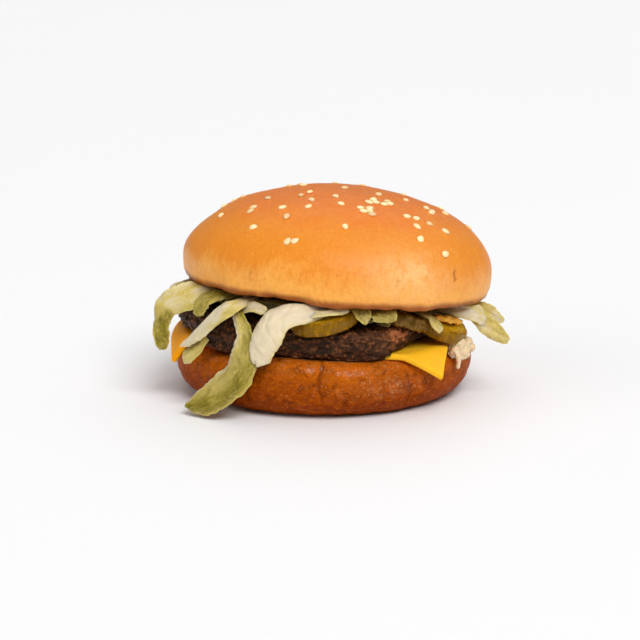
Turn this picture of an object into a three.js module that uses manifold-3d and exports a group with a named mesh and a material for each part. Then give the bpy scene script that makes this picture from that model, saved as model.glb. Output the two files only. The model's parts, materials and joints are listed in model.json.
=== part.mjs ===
// A cheeseburger: toasted heel, two slices of cheese, a ground beef patty, pickle chips, shredded lettuce and a
// seeded crown. Millimetres, +Z up. The origin is the middle of the flat foot that the burger stands on, and the
// side that shows the most filling faces -Y.
import * as THREE from "three";
import { mergeVertices } from "three/addons/utils/BufferGeometryUtils.js";
import Module from "manifold-3d";

const wasm = await Module();
wasm.setup();

// ---- Driving dimensions ---------------------------------------------------------------------------------------

const GAP = 0.3; // kept between neighbouring pieces
const HEEL = { radius: 55.5, foot: 43, rim: 51.5, widestAt: 11.5, height: 19.7 };
const CROWN = { radius: 57.2, under: 54.4, widestAt: 8, height: 37, middle: [4, 0, 38.4], roll: 4.5, lean: 2.2 };
const PATTY = { radius: 50, round: 3.2, top: 33.6, middle: [-6, 0], roll: 2.6, sag: 1.8 };
const CHEESE = { side: 74, thick: 2.2, bend: 3.4, edge: 52.2, waist: 0.06 };
const PICKLE = { thick: 5, round: 1.1 };
const SEED = { count: 58, length: 3.3, width: 2.2, thick: 1.2 };
const LEAF = { thick: 1.1, broad: 6.9 };
const BED = { radius: 43 };

const radians = THREE.MathUtils.degToRad;
const { lerp, smoothstep } = THREE.MathUtils;

// A point by its azimuth in degrees, from -Y round to +X, its distance from the middle and its height.
function polar(degrees, reach, height) {
  return new THREE.Vector3(reach * Math.sin(radians(degrees)), -reach * Math.cos(radians(degrees)), height);
}

const azimuthOf = (at) => Math.atan2(at.x, -at.y);

// How near an azimuth is to another, in degrees, as a bump from 0 to 1.
function bump(azimuth, centreDegrees, widthDegrees) {
  const off = ((THREE.MathUtils.radToDeg(azimuth) - centreDegrees + 540) % 360) - 180;
  return Math.exp(-((off / widthDegrees) ** 2));
}

// ---- Seeded unevenness ----------------------------------------------------------------------------------------

// Numbers from 0 to 1 that come out the same every time for one seed.
function randomFrom(seed) {
  let state = seed >>> 0;
  return () => {
    state = (state + 0x6d2b79f5) >>> 0;
    let mixed = Math.imul(state ^ (state >>> 15), 1 | state);
    mixed = (mixed + Math.imul(mixed ^ (mixed >>> 7), 61 | mixed)) ^ mixed;
    return ((mixed ^ (mixed >>> 14)) >>> 0) / 4294967296;
  };
}

// A value from 0 to 1 for each corner of a lattice.
function latticeValue(x, y, z) {
  let mixed = Math.imul(x, 374761393) + Math.imul(y, 668265263) + Math.imul(z, 1440662683);
  mixed = Math.imul(mixed ^ (mixed >>> 13), 1274126177);
  return ((mixed ^ (mixed >>> 16)) >>> 0) / 4294967296;
}

// Smooth lumps from -1 to 1, one lump to each unit of length.
function lumps(x, y, z) {
  const corner = [x, y, z].map(Math.floor);
  const [u, v, w] = [x, y, z].map((value, axis) => smoothstep(value - corner[axis], 0, 1));
  let sum = 0;
  for (let k = 0; k < 8; k++) {
    const [i, j, l] = [k & 1, (k >> 1) & 1, k >> 2];
    const share = (i ? u : 1 - u) * (j ? v : 1 - v) * (l ? w : 1 - w);
    sum += share * latticeValue(corner[0] + i, corner[1] + j, corner[2] + l);
  }
  return 2 * sum - 1;
}

// ---- Closed meshes and solids ---------------------------------------------------------------------------------

// A geometry with only shared positions left.
function welded(geometry) {
  geometry.deleteAttribute("normal");
  geometry.deleteAttribute("uv");
  return mergeVertices(geometry, 1e-4);
}

function solidOf(geometry) {
  return new wasm.Manifold(
    new wasm.Mesh({
      numProp: 3,
      vertProperties: new Float32Array(geometry.attributes.position.array),
      triVerts: new Uint32Array(geometry.index.array),
    }),
  );
}

function geometryOf(solid) {
  const mesh = solid.getMesh();
  return new THREE.BufferGeometry()
    .setAttribute("position", new THREE.BufferAttribute(new Float32Array(mesh.vertProperties), 3))
    .setIndex(new THREE.BufferAttribute(new Uint32Array(mesh.triVerts), 1));
}

// Moves every vertex of a geometry by a rule that changes the point it is given.
function reshaped(geometry, rule) {
  const position = geometry.attributes.position;
  const at = new THREE.Vector3();
  for (let i = 0; i < position.count; i++) {
    rule(at.fromBufferAttribute(position, i), i);
    position.setXYZ(i, at.x, at.y, at.z);
  }
  return geometry;
}

// The solid of a geometry with its skin moved out by the gap that its neighbours keep.
function berth(geometry, by = GAP) {
  const copy = geometry.clone();
  copy.computeVertexNormals();
  const normal = new THREE.Vector3();
  const normals = copy.attributes.normal;
  return solidOf(reshaped(copy, (at, i) => at.addScaledVector(normal.fromBufferAttribute(normals, i), by)));
}

// What is left of a solid beside its neighbours' berths, as its largest body.
function cutClear(solid, berths) {
  for (const neighbour of berths) solid = solid.subtract(neighbour);
  const bodies = solid.decompose().sort((a, b) => b.volume() - a.volume());
  return geometryOf(bodies[0]);
}

// Profile points of a quarter of a superellipse, from (r0, z0) to (r1, z1), level at its start and upright at its
// end, or the other way round when upright is first.
function quarter(r0, z0, r1, z1, power, steps, uprightFirst = false) {
  return Array.from({ length: steps + 1 }, (_, i) => {
    const turn = ((i / steps) * Math.PI) / 2;
    const fast = Math.abs(Math.sin(turn)) ** (2 / power);
    const slow = 1 - Math.abs(Math.cos(turn)) ** (2 / power);
    const [r, z] = uprightFirst ? [slow, fast] : [fast, slow];
    return new THREE.Vector2(lerp(r0, r1, r), lerp(z0, z1, z));
  });
}

// A profile turned round +Z, with each vertex then moved by the rule.
function turned(profile, segments, rule) {
  const geometry = new THREE.LatheGeometry(profile, segments).rotateX(Math.PI / 2);
  return reshaped(welded(geometry), rule);
}

// ---- Heel -----------------------------------------------------------------------------------------------------

// The rim of the top is swollen on one side of the front.
const HEEL_SWELL = { at: -17, width: 20, height: 1.7, from: 44, to: 49 };

const HEEL_CREASES = [
  { at: -2, width: 2.6, depth: 1.1, low: 9, high: 22 },
  { at: -31, width: 2.8, depth: 0.7, low: 6, high: 17 },
  { at: 33, width: 3.2, depth: 0.6, low: 4, high: 15 },
  { at: 104, width: 2.8, depth: 0.9, low: 7, high: 19 },
  { at: 171, width: 2.6, depth: 0.9, low: 8, high: 21 },
  { at: -118, width: 3.0, depth: 0.8, low: 6, high: 17 },
];

// Share of the plan radius at an azimuth.
function heelOutline(azimuth) {
  return 1 + 0.01 * Math.cos(2 * azimuth + 0.5) + 0.006 * Math.cos(3 * azimuth - 1.2);
}

// How far the heel's top is raised over a point at a distance and an azimuth.
function heelSwell(radius, azimuth) {
  const { from, to, height, at, width } = HEEL_SWELL;
  return height * smoothstep(radius, from, to) * bump(azimuth, at, width);
}

function heelShape(at) {
  const radius = Math.hypot(at.x, at.y);
  if (radius < 1e-6) return;
  const azimuth = azimuthOf(at);
  const side = smoothstep(radius, HEEL.foot - 2, HEEL.radius);
  at.z += heelSwell(radius, azimuth) * smoothstep(at.z, HEEL.widestAt, HEEL.height);
  let out = lerp(1, heelOutline(azimuth), smoothstep(radius, 20, HEEL.foot));
  for (const crease of HEEL_CREASES) {
    const upright = smoothstep(at.z, crease.low - 3, crease.low + 1) - smoothstep(at.z, crease.high - 1, crease.high + 3);
    out -= (crease.depth / radius) * side * upright * bump(azimuth, crease.at, crease.width);
  }
  out += (0.4 / radius) * side * lumps(at.x / 9, at.y / 9, at.z / 9);
  at.x *= out;
  at.y *= out;
}

function heelGeometry() {
  const { radius, foot, rim, widestAt, height } = HEEL;
  const profile = [
    new THREE.Vector2(0, 0),
    ...quarter(foot, 0, radius, widestAt, 2.1, 5),
    ...quarter(radius, widestAt, rim, height, 2.2, 4, true).slice(1),
    new THREE.Vector2(HEEL_SWELL.from, height),
    new THREE.Vector2(0, height),
  ];
  return turned(profile, 48, heelShape);
}

// ---- Crown ----------------------------------------------------------------------------------------------------

const CROWN_TURN = new THREE.Matrix4()
  .makeTranslation(...CROWN.middle)
  .multiply(new THREE.Matrix4().makeRotationX(-radians(CROWN.lean)))
  .multiply(new THREE.Matrix4().makeRotationY(radians(CROWN.roll)));

const DOME_POWER = 2.05;

const CROWN_DENTS = [
  { at: -88, width: 42, depth: 2.4, height: 24, reach: 9 },
  { at: 27, width: 7, depth: 0.9, height: 15, reach: 8 },
  { at: 62, width: 9, depth: 0.7, height: 12, reach: 7 },
  { at: 148, width: 8, depth: 0.9, height: 12, reach: 8 },
  { at: -140, width: 7, depth: 0.8, height: 10, reach: 8 },
];

// The top has sunk a little on one side.
const CROWN_SLUMP = { at: -80, width: 55, share: 0.035, from: 5, to: 32 };

// The unevenness of the crown in its own level frame, before it is tilted.
function crownShape(at) {
  const radius = Math.hypot(at.x, at.y);
  if (radius < 1e-6) return;
  const azimuth = azimuthOf(at);
  const side = smoothstep(radius, 20, CROWN.under);
  let out = 1 + side * (0.008 * Math.cos(2 * azimuth - 2.6) + 0.006 * Math.cos(3 * azimuth + 0.4));
  for (const dent of CROWN_DENTS) {
    const level = Math.exp(-(((at.z - dent.height) / dent.reach) ** 2));
    out -= (dent.depth / radius) * side * level * bump(azimuth, dent.at, dent.width);
  }
  out += (0.35 / radius) * side * lumps(at.x / 14, at.y / 14, at.z / 14);
  const { at: middle, width, share, from, to } = CROWN_SLUMP;
  const sunk = 1 - share * smoothstep(radius, from, to) * bump(azimuth, middle, width);
  at.set(at.x * out, at.y * out, at.z * sunk);
}

// A point of the dome: share 0 is the top and 1 is the widest ring.
function domePoint(azimuth, share) {
  const turn = ((1 - share) * Math.PI) / 2;
  const radius = CROWN.radius * Math.cos(turn) ** (2 / DOME_POWER);
  const height = lerp(CROWN.widestAt, CROWN.height, Math.sin(turn) ** (2 / DOME_POWER));
  const at = new THREE.Vector3(radius * Math.sin(azimuth), -radius * Math.cos(azimuth), height);
  crownShape(at);
  return at;
}

function crownBody() {
  const { radius, under, widestAt, height } = CROWN;
  const profile = [
    new THREE.Vector2(0, 0),
    ...quarter(under, 0, radius, widestAt, 2.3, 4),
    ...quarter(radius, widestAt, 0, height, DOME_POWER, 10, true).slice(1),
  ];
  return turned(profile, 46, crownShape);
}

// Where each sesame seed lies: some are spread over the top and the far side by the golden angle, and the strays and
// the clumps have places of their own. A stray has an azimuth in degrees and a share of the way down. A clump has
// its spread in millimetres and its number of seeds too.
const SEED_STRAYS = [
  [-41, 0.64],
  [-21.5, 0.71],
  [-18.6, 0.7],
  [-29, 0.51],
  [-37, 0.43],
  [-74, 0.62],
  [-56.5, 0.475],
  [-54, 0.515],
  [-62, 0.36],
  [-40, 0.27],
  [-25, 0.31],
  [-22, 0.39],
  [-8, 0.24],
  [-2, 0.33],
  [1, 0.55],
  [35, 0.63],
  [44, 0.75],
  [54, 0.58],
  [94, 0.62],
  [83, 0.46],
  [38, 0.44],
  [43, 0.46],
  [38, 0.53],
  [48, 0.51],
  [66, 0.28],
  [118, 0.8],
  [176, 0.84],
  [-150, 0.76],
];

const SEED_CLUMPS = [
  [15, 0.39, 3.4, 5],
  [24.5, 0.29, 3, 3],
  [36, 0.31, 3, 3],
  [67, 0.41, 3.2, 3],
  [150, 0.4, 3.6, 4],
];

function seedPlaces() {
  const random = randomFrom(20417);
  const places = [];
  for (let i = 0; i < SEED.count; i++) {
    const degrees = i * 137.508 + 26 * (random() - 0.5);
    const share = 0.04 + 0.58 * Math.sqrt((i + 0.5) / SEED.count) + 0.05 * (random() - 0.5);
    const place = { azimuth: radians(degrees), share, turn: Math.PI * random(), size: 0.88 + 0.24 * random() };
    const aside = Math.abs(((degrees + 180) % 360) - 180);
    if (share < 0.24 || aside > 98) places.push(place);
  }
  for (const [degrees, share] of SEED_STRAYS) {
    places.push({ azimuth: radians(degrees), share, turn: Math.PI * random(), size: 0.9 + 0.2 * random() });
  }
  for (const [degrees, share, spread, count] of SEED_CLUMPS) {
    for (let i = 0; i < count; i++) {
      const around = 2.4 * i + 0.6 * random();
      const out = (spread * Math.sqrt((i + 0.2) / count)) / CROWN.radius;
      const azimuth = radians(degrees) + (out * Math.cos(around)) / Math.sin(1.5 * share);
      const down = share + 0.75 * out * Math.sin(around);
      places.push({ azimuth, share: down, turn: Math.PI * random(), size: 0.84 + 0.24 * random() });
    }
  }
  return places;
}

// One sesame seed, pointed at one end and sunk a little into the crust.
function seedGeometry({ azimuth, share, turn, size }) {
  const step = 0.01;
  const at = domePoint(azimuth, share);
  const down = domePoint(azimuth, share + step).sub(at).normalize();
  const across = domePoint(azimuth + step, share).sub(at).normalize();
  const out = new THREE.Vector3().crossVectors(down, across).normalize();
  if (out.z < 0) out.negate();
  const along = down.clone().applyAxisAngle(out, turn);
  const beside = new THREE.Vector3().crossVectors(out, along);
  const frame = new THREE.Matrix4().makeBasis(along, beside, out).setPosition(at.addScaledVector(out, 0.15));
  const seed = welded(new THREE.SphereGeometry(0.5, 6, 2).rotateX(Math.PI / 2));
  reshaped(seed, (v) => {
    const taper = 1.2 - 0.5 * (v.x + 0.5) ** 1.5;
    v.set(v.x * SEED.length * size, v.y * SEED.width * size * taper, v.z * SEED.thick * size);
  });
  return seed.applyMatrix4(frame);
}

function crownGeometry(body) {
  const seeds = seedPlaces().map((place) => solidOf(seedGeometry(place)));
  const seeded = seeds.reduce((crown, seed) => crown.add(seed), solidOf(body));
  return geometryOf(seeded).applyMatrix4(CROWN_TURN);
}

// Height of the crown's underside over a point of the plan.
function crownUnder(x, y) {
  const normal = new THREE.Vector3(0, 0, 1).transformDirection(CROWN_TURN);
  const drop = (x - CROWN.middle[0]) * normal.x + (y - CROWN.middle[1]) * normal.y;
  return CROWN.middle[2] - drop / normal.z;
}

// ---- Cheese ---------------------------------------------------------------------------------------------------

const CHEESE_SLICES = {
  cheese_slice_right: { middle: [11.1, -9], turn: -7.1, layer: 0, hang: 38 },
  cheese_slice_left: { middle: [-18.6, 4], turn: -8.3, layer: 1, hang: 66 },
};

// A square slice with its sides drawn in a little, which lies flat and folds down over the heel's edge where it
// reaches past it. Raised is added above its top face and dropped straight down below its bottom face.
function cheeseGeometry({ middle, turn, layer, hang }, raised = 0, dropped = 0) {
  const { side, thick, edge, waist } = CHEESE;
  const steps = 10;
  const under = HEEL.height + (layer + 1) * (GAP + 0.05) + layer * thick;
  const bend = CHEESE.bend + layer * (thick + GAP);
  const [c, s] = [Math.cos(radians(turn)), Math.sin(radians(turn))];
  const geometry = welded(new THREE.BoxGeometry(side, side, thick, steps, steps, 1));
  return reshaped(geometry, (at) => {
    const above = at.z > 0 ? at.z + raised : at.z;
    const sunk = at.z > 0 ? 0 : dropped;
    const round = 1 - 0.02 * (Math.abs(at.x / side) + Math.abs(at.y / side)) ** 4;
    const along = at.x * round * (1 - waist * (1 - (2 * at.y / side) ** 2));
    const beside = at.y * round * (1 - waist * (1 - (2 * at.x / side) ** 2));
    const x = middle[0] + c * along - s * beside;
    const y = middle[1] + s * along + c * beside;
    const reach = Math.hypot(x, y);
    const past = Math.max(0, reach - edge);
    const fold = Math.min(past / bend, radians(hang));
    const straight = Math.max(0, past - fold * bend);
    const out = Math.min(reach, edge) + bend * Math.sin(fold) + straight * Math.cos(fold) + above * Math.sin(fold);
    const drop = bend * (1 - Math.cos(fold)) + straight * Math.sin(fold) + sunk;
    const share = out / Math.max(reach, 1e-6);
    at.set(x * share, y * share, under + thick / 2 - drop + above * Math.cos(fold));
  });
}

// ---- Patty ----------------------------------------------------------------------------------------------------

const PATTY_LIFT = { at: -80, width: 32, height: 6 };
const PATTY_BULGES = [
  { at: 29, width: 17, share: 0.112 },
  { at: -82, width: 28, share: -0.03 },
];

// Height of the patty's top face over a point of the plan.
function pattyTop(x, y) {
  const reach = Math.hypot(x - PATTY.middle[0], y - PATTY.middle[1]) / PATTY.radius;
  return PATTY.top - Math.tan(radians(PATTY.roll)) * x - PATTY.sag * Math.min(reach, 1) ** 4;
}

function pattyShape(at) {
  const radius = Math.hypot(at.x, at.y);
  const azimuth = radius > 1e-6 ? azimuthOf(at) : 0;
  const side = smoothstep(radius / PATTY.radius, 0.6, 0.95);
  const uneven = 0.018 * Math.cos(2 * azimuth + 1) + 0.012 * Math.cos(5 * azimuth - 1) + 0.01 * Math.cos(9 * azimuth);
  const grain = lumps(at.x / 4.5, at.y / 4.5, 12 * at.z + 40) + 0.5 * lumps(at.x / 2.2, at.y / 2.2, 12 * at.z + 80);
  const bulge = PATTY_BULGES.reduce((sum, bulged) => sum + bulged.share * bump(azimuth, bulged.at, bulged.width), 0);
  const out = 1 + side * (uneven + bulge + (0.8 * grain) / Math.max(radius, 1));
  const x = at.x * out + PATTY.middle[0];
  const y = at.y * out + PATTY.middle[1];
  const lift = PATTY_LIFT.height * side * bump(azimuth, PATTY_LIFT.at, PATTY_LIFT.width);
  const under = HEEL.height + GAP + lift + heelSwell(Math.hypot(x, y), Math.atan2(x, -y));
  at.set(x, y, lerp(under, pattyTop(x, y) + 0.3 * side * grain, at.z));
}

// The patty before the cheese is pressed into it. Its profile's heights are shares of its thickness.
function pattyGeometry() {
  const { radius, round } = PATTY;
  const profile = [
    new THREE.Vector2(0, 0),
    new THREE.Vector2(radius * 0.75, 0),
    ...quarter(radius - round, 0, radius, 0.5, 2.2, 3),
    ...quarter(radius, 0.5, radius - round, 1, 2.2, 3, true).slice(1),
    new THREE.Vector2(radius * 0.75, 1),
    new THREE.Vector2(radius * 0.45, 1),
    new THREE.Vector2(0, 1),
  ];
  return turned(profile, 50, pattyShape);
}

// ---- Pickle chips ---------------------------------------------------------------------------------------------

// Radius of each chip, azimuth in degrees, distance from the middle and height of its middle, how far its outer end
// tips down, and how far it rolls to the right, in degrees.
const PICKLES = {
  pickle_front: { radius: 13.8, at: [-2.4, 42.6, 35.2], tip: 10, roll: -8 },
  pickle_middle: { radius: 10.4, at: [38.5, 43, 32.8], tip: 5, roll: 17 },
  pickle_right: { radius: 11, at: [59, 47.6, 28.5], tip: 25, roll: 4 },
  pickle_left: { radius: 13.5, at: [-84, 43.5, 37.2], tip: 9, roll: 0 },
  pickle_back_right: { radius: 13.5, at: [136, 40, 33.4], tip: 3, roll: 4 },
  pickle_back_left: { radius: 13.5, at: [-158, 41, 36], tip: 2, roll: -3 },
};

function pickleGeometry({ radius, at, tip, roll }) {
  const { thick, round } = PICKLE;
  const profile = [
    new THREE.Vector2(0, -thick / 2),
    ...quarter(radius - round, -thick / 2, radius, 0, 2.4, 2),
    ...quarter(radius, 0, radius - round, thick / 2, 2.4, 2, true).slice(1),
    new THREE.Vector2(0, thick / 2),
  ];
  const [degrees, reach, height] = at;
  const chip = turned(profile, 16, (v) => {
    const out = 1 + 0.03 * Math.cos(2 * azimuthOf(v) + radians(degrees)) + 0.015 * Math.cos(5 * azimuthOf(v));
    v.set(v.x * out, v.y * out, v.z + 0.03 * v.x * Math.sin(v.y / 6));
  });
  return chip
    .rotateX(radians(tip))
    .rotateY(radians(roll))
    .rotateZ(radians(degrees))
    .translate(...polar(degrees, reach, height));
}

// ---- Lettuce --------------------------------------------------------------------------------------------------

// Each shred's stations from its root in the bed to its tip: azimuth in degrees, distance from the middle, height
// and width. Twist turns its tip, curl folds its edges in and ruffle waves them.
const SHREDS = {
  leftLeaf: {
    stations: [
      [-54, 39, 42.4, 12],
      [-57, 50, 41.8, 12.4],
      [-61, 57.4, 39.4, 11.6],
      [-65, 63, 35.6, 9],
      [-66, 64.8, 30, 6.2],
      [-65.5, 65, 25, 6],
      [-65, 65, 19.6, 3.4],
    ],
    twist: -48,
    ruffle: 0.8,
    curl: 0.1,
  },
  leftInner: {
    stations: [
      [-48, 42, 42.2, 8],
      [-50, 51, 41.6, 9],
      [-52, 56, 38.6, 9],
      [-52.6, 57.6, 33.6, 5],
    ],
    ruffle: 0.6,
    curl: 0.1,
  },
  paleDiagonal: {
    stations: [
      [-33, 46, 41.6, 5.5],
      [-35.5, 57.4, 39.8, 6.8],
      [-41.5, 59.6, 35.2, 6.8],
      [-47.5, 60.8, 29.6, 6.8],
      [-51.8, 61.6, 25.6, 5],
      [-56, 62.2, 22.8, 1.4],
    ],
    curl: 0.16,
  },
  lowCurl: {
    stations: [
      [-46.5, 58.2, 27.6, 3.6],
      [-49.6, 60, 23.8, 5.2],
      [-53, 61.2, 21.2, 7],
      [-56, 61.6, 20, 6],
    ],
    curl: 0.3,
  },
  longGreen: {
    stations: [
      [-40, 43, 38.4, 4],
      [-34.5, 54.5, 36.8, 4.2],
      [-29.4, 57.6, 30.6, 5.8],
      [-29.2, 59.6, 23.5, 9.4],
      [-31, 61, 16.8, 14.4],
      [-36, 62.6, 11.2, 15.4],
      [-42, 64.8, 7.2, 11.6],
      [-47.6, 67, 3.9, 2.6],
    ],
    ruffle: 0.5,
    curl: 0.12,
  },
  whiteRib: {
    stations: [
      [6, 42, 38.2, 5],
      [-2.5, 51, 38.9, 6.8],
      [-10, 56.4, 39, 8.6],
      [-16.8, 58.6, 36.4, 10.4],
      [-20.2, 59.5, 31.6, 12.2],
      [-22.3, 60.2, 26, 10.4],
      [-23.6, 60.4, 20.4, 7],
    ],
    thick: 2.4,
    curl: 0.14,
  },
  paleArch: {
    stations: [
      [-42, 43, 35.6, 3.4],
      [-35, 51.5, 37.4, 3.6],
      [-28, 53.6, 39.4, 3.8],
      [-22, 54.6, 38.4, 3.4],
    ],
  },
  pickleCrumple: {
    stations: [
      [-22, 44, 38.8, 2.4],
      [-14, 53, 37.4, 2.2],
      [-6, 54.8, 38, 2.4],
      [2, 54.6, 38.8, 2.6],
      [9, 52, 39.2, 2.4],
    ],
    ruffle: 0.6,
  },
  foldOne: {
    stations: [
      [12.5, 41, 38.2, 6],
      [14, 50.6, 38.6, 6],
      [14.6, 53.4, 36.6, 5],
      [15, 53.8, 33.9, 1.4],
    ],
    ruffle: 0.7,
  },
  foldTwo: {
    stations: [
      [21.5, 41, 37.6, 8],
      [22, 51, 38, 9],
      [22.2, 53.6, 36.4, 8.8],
      [22, 54, 34.4, 8],
    ],
    ruffle: 0.7,
  },
  palePeg: {
    stations: [
      [42, 44, 34.6, 4],
      [45, 51, 33.6, 5],
      [46.4, 54.4, 31, 4.6],
      [47.6, 55.6, 28.4, 3],
    ],
    thick: 1.8,
  },
  creamBand: {
    stations: [
      [61, 42, 35.2, 7],
      [65, 53, 34, 7.4],
      [68, 59, 31.6, 6.4],
      [69.4, 62, 27.6, 3],
    ],
    twist: 40,
    ruffle: 0.6,
  },
  rightLong: {
    stations: [
      [75, 40, 34.6, 8],
      [74, 52, 33, 8.4],
      [71, 58.6, 30.6, 7.4],
      [69.5, 63, 27.4, 6.6],
      [71, 67, 23.6, 5.6],
      [73, 69.6, 20.8, 3],
    ],
    twist: 66,
    ruffle: 0.8,
    curl: 0.12,
  },
  rightPoint: {
    stations: [
      [82, 42, 34, 5],
      [81, 55, 32.4, 7],
      [79, 62, 29.4, 6],
      [81, 66.8, 26.6, 1.6],
    ],
    twist: 62,
    ruffle: 0.5,
  },
};

// Shreds of the sides that face away, drawn at random round the bed.
function farShreds() {
  const random = randomFrom(90211);
  const first = 112;
  const spacing = 19;
  return Array.from({ length: 9 }, (_, i) => {
    const root = first + spacing * (i + 0.9 * (random() - 0.5));
    const drift = 52 * (random() - 0.5);
    const shoulder = 0.5 + random();
    const hang = (i % 3 === 1 ? 13 : 3) + 7 * random();
    const top = polar(root, 52, 0);
    const high = crownUnder(top.x, top.y) - 1.6 - shoulder;
    const width = 4 + 6.4 * random();
    return {
      stations: [
        [root, 40, high, width * 0.8],
        [root + 0.3 * drift, 52, high - 0.4, width],
        [root + 0.7 * drift, 58.6, high - 2 - 0.4 * hang, width * 0.95],
        [root + drift, 60.6, high - 3 - hang, width * 0.4],
      ],
      ruffle: 0.3 + 0.5 * random(),
      curl: 0.1 * random(),
      steps: [4, 2],
    };
  });
}

// Short ends that stick out of the bed's rim all the way round.
function rimTufts() {
  const random = randomFrom(5503);
  const count = 12;
  return Array.from({ length: count }, (_, i) => {
    const root = (360 / count) * (i + 0.7 * (random() - 0.5));
    const out = 48 + 4.5 * random();
    const at = polar(root, 50, 0);
    const low = Math.max(pattyTop(at.x, at.y) + 1, pattyTop(0, 0) - 3);
    const height = lerp(low, crownUnder(at.x, at.y) - 1, 0.15 + 0.75 * random());
    const width = 2.6 + 2.6 * random();
    return {
      stations: [
        [root, 38, height + 0.5, width],
        [root + 5 * (random() - 0.5), 45, height + 0.6 * (random() - 0.5), width],
        [root + 14 * (random() - 0.5), out, height - 1.4 * random(), width * 0.8],
      ],
      steps: [3, 1],
    };
  });
}

// A closed thin sheet over a grid of middle points, thinner at its edges, with both faces split into triangles alike.
function sheetGeometry([along, across], pointAt, thick) {
  const middle = [];
  for (let i = 0; i <= along; i++) {
    for (let j = 0; j <= across; j++) {
      const [t, u] = [i / along, j / across];
      const point = pointAt(t, u);
      const ahead = pointAt(t + 0.01, u).sub(pointAt(t - 0.01, u));
      const beside = pointAt(t, u + 0.01).sub(pointAt(t, u - 0.01));
      const half = (thick / 2) * (1 - 0.45 * Math.abs(2 * u - 1) ** 3);
      middle.push({ point, push: new THREE.Vector3().crossVectors(ahead, beside).setLength(half) });
    }
  }
  const points = [1, -1].flatMap((side) => middle.map(({ point, push }) => point.clone().addScaledVector(push, side)));
  const at = (i, j, face) => face * middle.length + i * (across + 1) + j;
  const index = [];
  for (let i = 0; i < along; i++) {
    for (let j = 0; j < across; j++) {
      const [a, b, c, d] = [at(i, j, 0), at(i + 1, j, 0), at(i + 1, j + 1, 0), at(i, j + 1, 0)];
      const under = middle.length;
      index.push(a, b, c, a, c, d, a + under, c + under, b + under, a + under, d + under, c + under);
    }
  }
  const edge = (a, b) => index.push(b, a, a + middle.length, b, a + middle.length, b + middle.length);
  for (let i = 0; i < along; i++) {
    edge(at(i, 0, 0), at(i + 1, 0, 0));
    edge(at(i + 1, across, 0), at(i, across, 0));
  }
  for (let j = 0; j < across; j++) {
    edge(at(0, j + 1, 0), at(0, j, 0));
    edge(at(along, j, 0), at(along, j + 1, 0));
  }
  return new THREE.BufferGeometry().setFromPoints(points).setIndex(index);
}

function shredGeometry({ stations, thick = LEAF.thick, twist = 0, curl = 0, ruffle = 0, steps }) {
  const path = new THREE.CatmullRomCurve3(stations.map(([degrees, reach, height]) => polar(degrees, reach, height)));
  const last = stations.length - 1;
  const widthAt = (t) => {
    const i = Math.min(Math.floor(t * last), last - 1);
    return lerp(stations[i][3], stations[i + 1][3], t * last - i);
  };
  const pointAt = (t, u) => {
    const near = THREE.MathUtils.clamp(t, 0, 1);
    const ahead = path.getTangent(near);
    const point = path.getPoint(near).addScaledVector(ahead, (t - near) * 10);
    const out = new THREE.Vector3(point.x, point.y, 0).setLength(1).setZ(0.8);
    const normal = out.addScaledVector(ahead, -out.dot(ahead)).normalize();
    normal.applyAxisAngle(ahead, radians(twist) * smoothstep(near, 0, 0.7));
    const beside = new THREE.Vector3().crossVectors(ahead, normal);
    const off = 2 * u - 1;
    const width = widthAt(near);
    const wave = ruffle * Math.sin(2.2 * last * t + 2.4 * off) * off ** 2 * Math.min(1, width / 6);
    point.addScaledVector(beside, (off * width) / 2);
    return point.addScaledVector(normal, wave - curl * width * off ** 2);
  };
  const widest = Math.max(...stations.map((station) => station[3]));
  return sheetGeometry(steps ?? [Math.round(last * 1.35), widest > LEAF.broad ? 3 : 2], pointAt, thick);
}

// The middle of the lettuce, which fills the room between the patty and the crown out to the bed's rim.
function bedGeometry() {
  const { radius } = BED;
  const profile = [
    new THREE.Vector2(0, 0),
    new THREE.Vector2(radius * 0.75, 0),
    new THREE.Vector2(radius, 0.12),
    new THREE.Vector2(radius + 1, 0.5),
    new THREE.Vector2(radius, 0.88),
    new THREE.Vector2(radius * 0.75, 1),
    new THREE.Vector2(0, 1),
  ];
  const clear = GAP + 0.15;
  return turned(profile, 24, (at) => {
    const rim = smoothstep(Math.hypot(at.x, at.y), 0.8 * radius, radius);
    const out = 1 + 0.05 * rim * lumps(at.x / 5, at.y / 5, 8 * at.z);
    const [x, y] = [at.x * out, at.y * out];
    at.set(x, y, lerp(pattyTop(x, y) + clear, crownUnder(x, y) - clear, at.z));
  });
}

function lettuceSolid() {
  const shreds = [...Object.values(SHREDS), ...farShreds(), ...rimTufts()];
  return shreds.reduce((heap, shred) => heap.add(solidOf(shredGeometry(shred))), solidOf(bedGeometry()));
}

// ---- Sauce ----------------------------------------------------------------------------------------------------

const DOLLOP = { at: [60, 55.6, 20.4], size: [5.2, 3.6, 3.8] };

function dollopGeometry() {
  const { at, size } = DOLLOP;
  const blob = reshaped(welded(new THREE.IcosahedronGeometry(1, 2)), (v) => {
    v.multiplyScalar(1 + 0.22 * lumps(2.4 * v.x + 3, 2.4 * v.y, 2.4 * v.z));
    v.multiply(new THREE.Vector3(...size));
  });
  return blob.rotateZ(radians(at[0])).translate(...polar(...at));
}

// ---- The burger -----------------------------------------------------------------------------------------------

const LOOKS = {
  bun_heel: { color: 0xa8571f, roughness: 0.45 },
  bun_crown: { color: 0xd98a3a, roughness: 0.4 },
  beef_patty: { color: 0x3d2620, roughness: 0.7 },
  cheese: { color: 0xf5ab1e, roughness: 0.4 },
  pickle: { color: 0x7d7a1e, roughness: 0.3 },
  lettuce: { color: 0xc3c46a, roughness: 0.5 },
  sauce: { color: 0xf2e4c4, roughness: 0.35 },
};

const burger = new THREE.Group();

// Adds a piece as a named mesh.
function add(name, geometry, looks) {
  const mesh = new THREE.Mesh(geometry, new THREE.MeshStandardMaterial({ ...looks, metalness: 0 }));
  mesh.name = name;
  burger.add(mesh);
}

// The room that each piece laid so far takes, with the gap round it.
const berths = [];

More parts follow.
